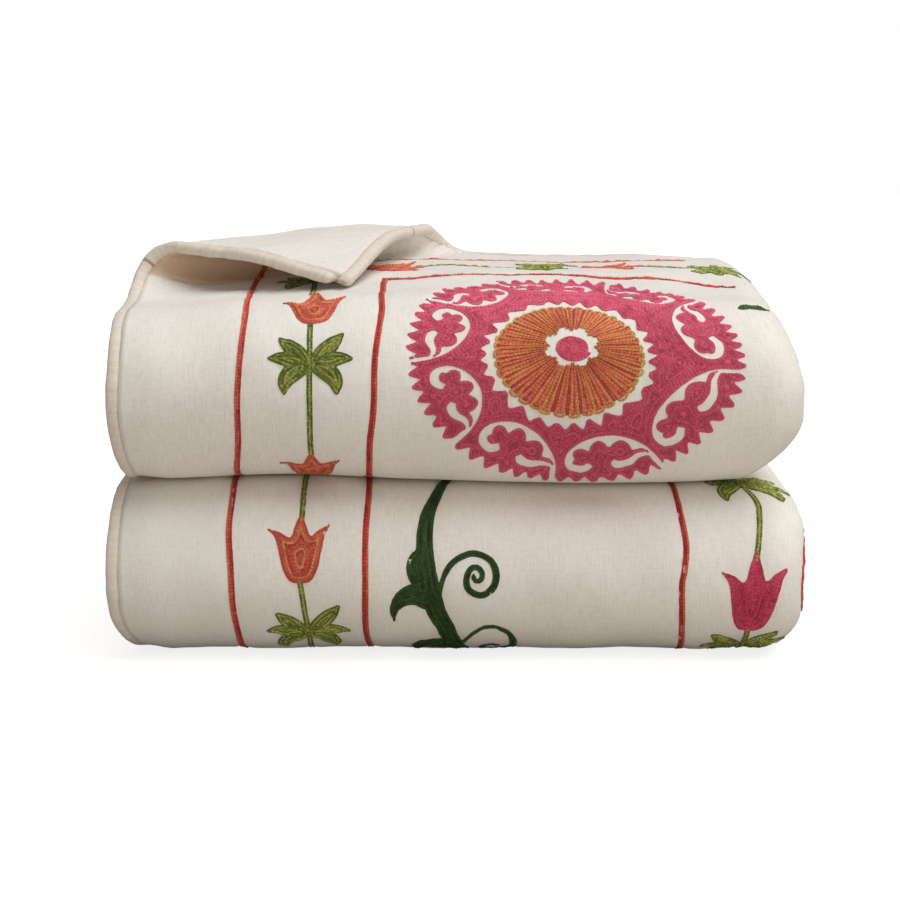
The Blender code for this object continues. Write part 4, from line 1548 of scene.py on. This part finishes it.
class QUILT_OT_binding(bpy.types.Operator):
    """Rolls the four strips of the binding over the edges"""

    bl_idname = "quilt.binding"
    bl_label = "Roll the binding"

    def execute(self, context):
        looks = context.scene.quilt_looks
        strip = cotton("binding cotton", looks.binding, looks.binding_shade, 0.2,
                       bpy.data.node_groups["slubby weave"], 0.4, tinted_and_shaded=True)
        past = SEAM_GAP + BINDING
        v = binding_stations(V_MARKS, (1, 1, 0, 1, 0, 1, 0))
        v[0] += SEAM_GAP / 2
        v[-1] -= SEAM_GAP / 2
        ends = np.concatenate(((-past,), U_MARKS[1:-1], (FLAT_WIDTH + past,)))
        u = binding_stations(ends, (1, 0, 0, 0, 0, 0, 0))
        zero_u, zero_v = np.zeros_like(u), np.zeros_like(v)
        strips = (
            ("side_outer", zero_v, v, -1, 0, 11),
            ("side_inner", zero_v + FLAT_WIDTH, v, 1, 0, 12),
            ("end_top", u, zero_u, 0, -1, 13),
            ("end_bottom", u, zero_u + FLAT_LENGTH, 0, 1, 14),
        )
        for name, at_u, at_v, out_u, out_v, phase in strips:
            piece = binding_mesh(f"rolled_{name}", at_u, at_v, out_u, out_v, strip, phase)
            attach(piece, "root")
            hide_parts(f"binding_{name}")
        return {"FINISHED"}


def seen_or_lit(tree, seen, lit):
    """One colour where the camera sees it, another one for the light that it throws."""
    path = tree.nodes.new("ShaderNodeLightPath")
    mix = tree.nodes.new("ShaderNodeMix")
    mix.data_type = "RGBA"
    mix.inputs["A"].default_value = (*lit, 1)
    mix.inputs["B"].default_value = (*seen, 1)
    tree.links.new(path.outputs["Is Camera Ray"], mix.inputs["Factor"])
    return mix.outputs["Result"]


def soft_light(name, place, power, width, height, colour):
    """A wide lamp at a place, turned toward the middle of the stack."""
    lamp = bpy.data.lights.new(name, "AREA")
    lamp.shape = "RECTANGLE"
    lamp.size = width
    lamp.size_y = height
    lamp.energy = power
    lamp.color = colour
    light = bpy.data.objects.new(name, lamp)
    light.location = place
    light.rotation_euler = (Vector((0, 0, 0.15)) - Vector(place)).to_track_quat("-Z", "Y").to_euler()
    bpy.context.scene.collection.objects.link(light)


class QUILT_OT_stage(bpy.types.Operator):
    """Sets up the camera, the pale floor and the soft studio light"""

    bl_idname = "quilt.stage"
    bl_label = "Set the stage"

    def execute(self, context):
        looks = context.scene.stage_looks
        scene = context.scene
        camera = bpy.data.objects.new("camera", bpy.data.cameras.new("camera"))
        camera.data.sensor_width = 36
        camera.data.lens = looks.lens
        camera.location = (-0.0065, -MIDDLE[1] - looks.camera_distance, looks.camera_height)
        camera.rotation_euler = (math.radians(90) - looks.camera_pitch, 0, 0)
        scene.collection.objects.link(camera)
        scene.camera = camera

        made, tree, shader = principled("pale floor")
        shader.inputs["Base Color"].default_value = (0.43, 0.40, 0.355, 1)
        shader.inputs["Roughness"].default_value = 0.9
        tree.links.new(seen_or_lit(tree, (1, 1, 1), (0, 0, 0)), shader.inputs["Emission Color"])
        shader.inputs["Emission Strength"].default_value = 0.8
        corners = np.array(((-6, -6, 0), (6, -6, 0), (6, 6, 0), (-6, 6, 0)), float)
        floor = new_mesh("floor", corners - (0, 0, 0.0004), [(0, 1, 2, 3)], (made,))

        world = bpy.data.worlds.new("studio")
        world.use_nodes = True
        background = world.node_tree.nodes["Background"]
        fill = np.array((1.0, 0.97, 0.94)) * looks.fill_light
        world.node_tree.links.new(seen_or_lit(world.node_tree, (1, 1, 1), fill), background.inputs["Color"])
        scene.world = world
        lamp = bpy.data.lights.new("key light", "SUN")
        lamp.energy = looks.key_light
        lamp.angle = math.radians(60)
        lamp.color = (0.96, 0.98, 1.0)
        key = bpy.data.objects.new("key light", lamp)
        key.rotation_euler = Vector((-0.35, 0.06, -0.94)).to_track_quat("-Z", "Y").to_euler()
        scene.collection.objects.link(key)
        soft_light("side light", (1.0, -0.85, 0.5), looks.side_light, 0.7, 0.7, (1, 1, 1))
        soft_light("front light", (0.2, -2.6, 0.35), looks.front_light, 2.2, 0.8, (1.0, 0.98, 0.95))
        scene.view_settings.view_transform = "Standard"
        scene.view_settings.look = "None"
        return {"FINISHED"}


class QUILT_PT_panel(bpy.types.Panel):
    """The quilt's pieces and settings"""

    bl_label = "Folded quilt"
    bl_idname = "QUILT_PT_panel"
    bl_space_type = "VIEW_3D"
    bl_region_type = "UI"
    bl_category = "Quilt"

    def draw(self, context):
        layout = self.layout
        for group in (context.scene.quilt_looks, context.scene.stage_looks):
            for name in group.__annotations__:
                layout.prop(group, name)
        for operator in (QUILT_OT_stitch, QUILT_OT_cloth, QUILT_OT_binding, QUILT_OT_stage):
            layout.operator(operator.bl_idname)


CLASSES = (
    QuiltLooks,
    StageLooks,
    QUILT_OT_stitch,
    QUILT_OT_cloth,
    QUILT_OT_binding,
    QUILT_OT_stage,
    QUILT_PT_panel,
)


def register():
    for made in CLASSES:
        bpy.utils.register_class(made)
    bpy.types.Scene.quilt_looks = PointerProperty(type=QuiltLooks)
    bpy.types.Scene.stage_looks = PointerProperty(type=StageLooks)


def unregister():
    del bpy.types.Scene.stage_looks
    del bpy.types.Scene.quilt_looks
    for made in reversed(CLASSES):
        bpy.utils.unregister_class(made)


def main():
    register()
    bpy.ops.quilt.stitch()
    bpy.ops.quilt.cloth()
    bpy.ops.quilt.binding()
    bpy.ops.quilt.stage()


if __name__ == "__main__":
    main()
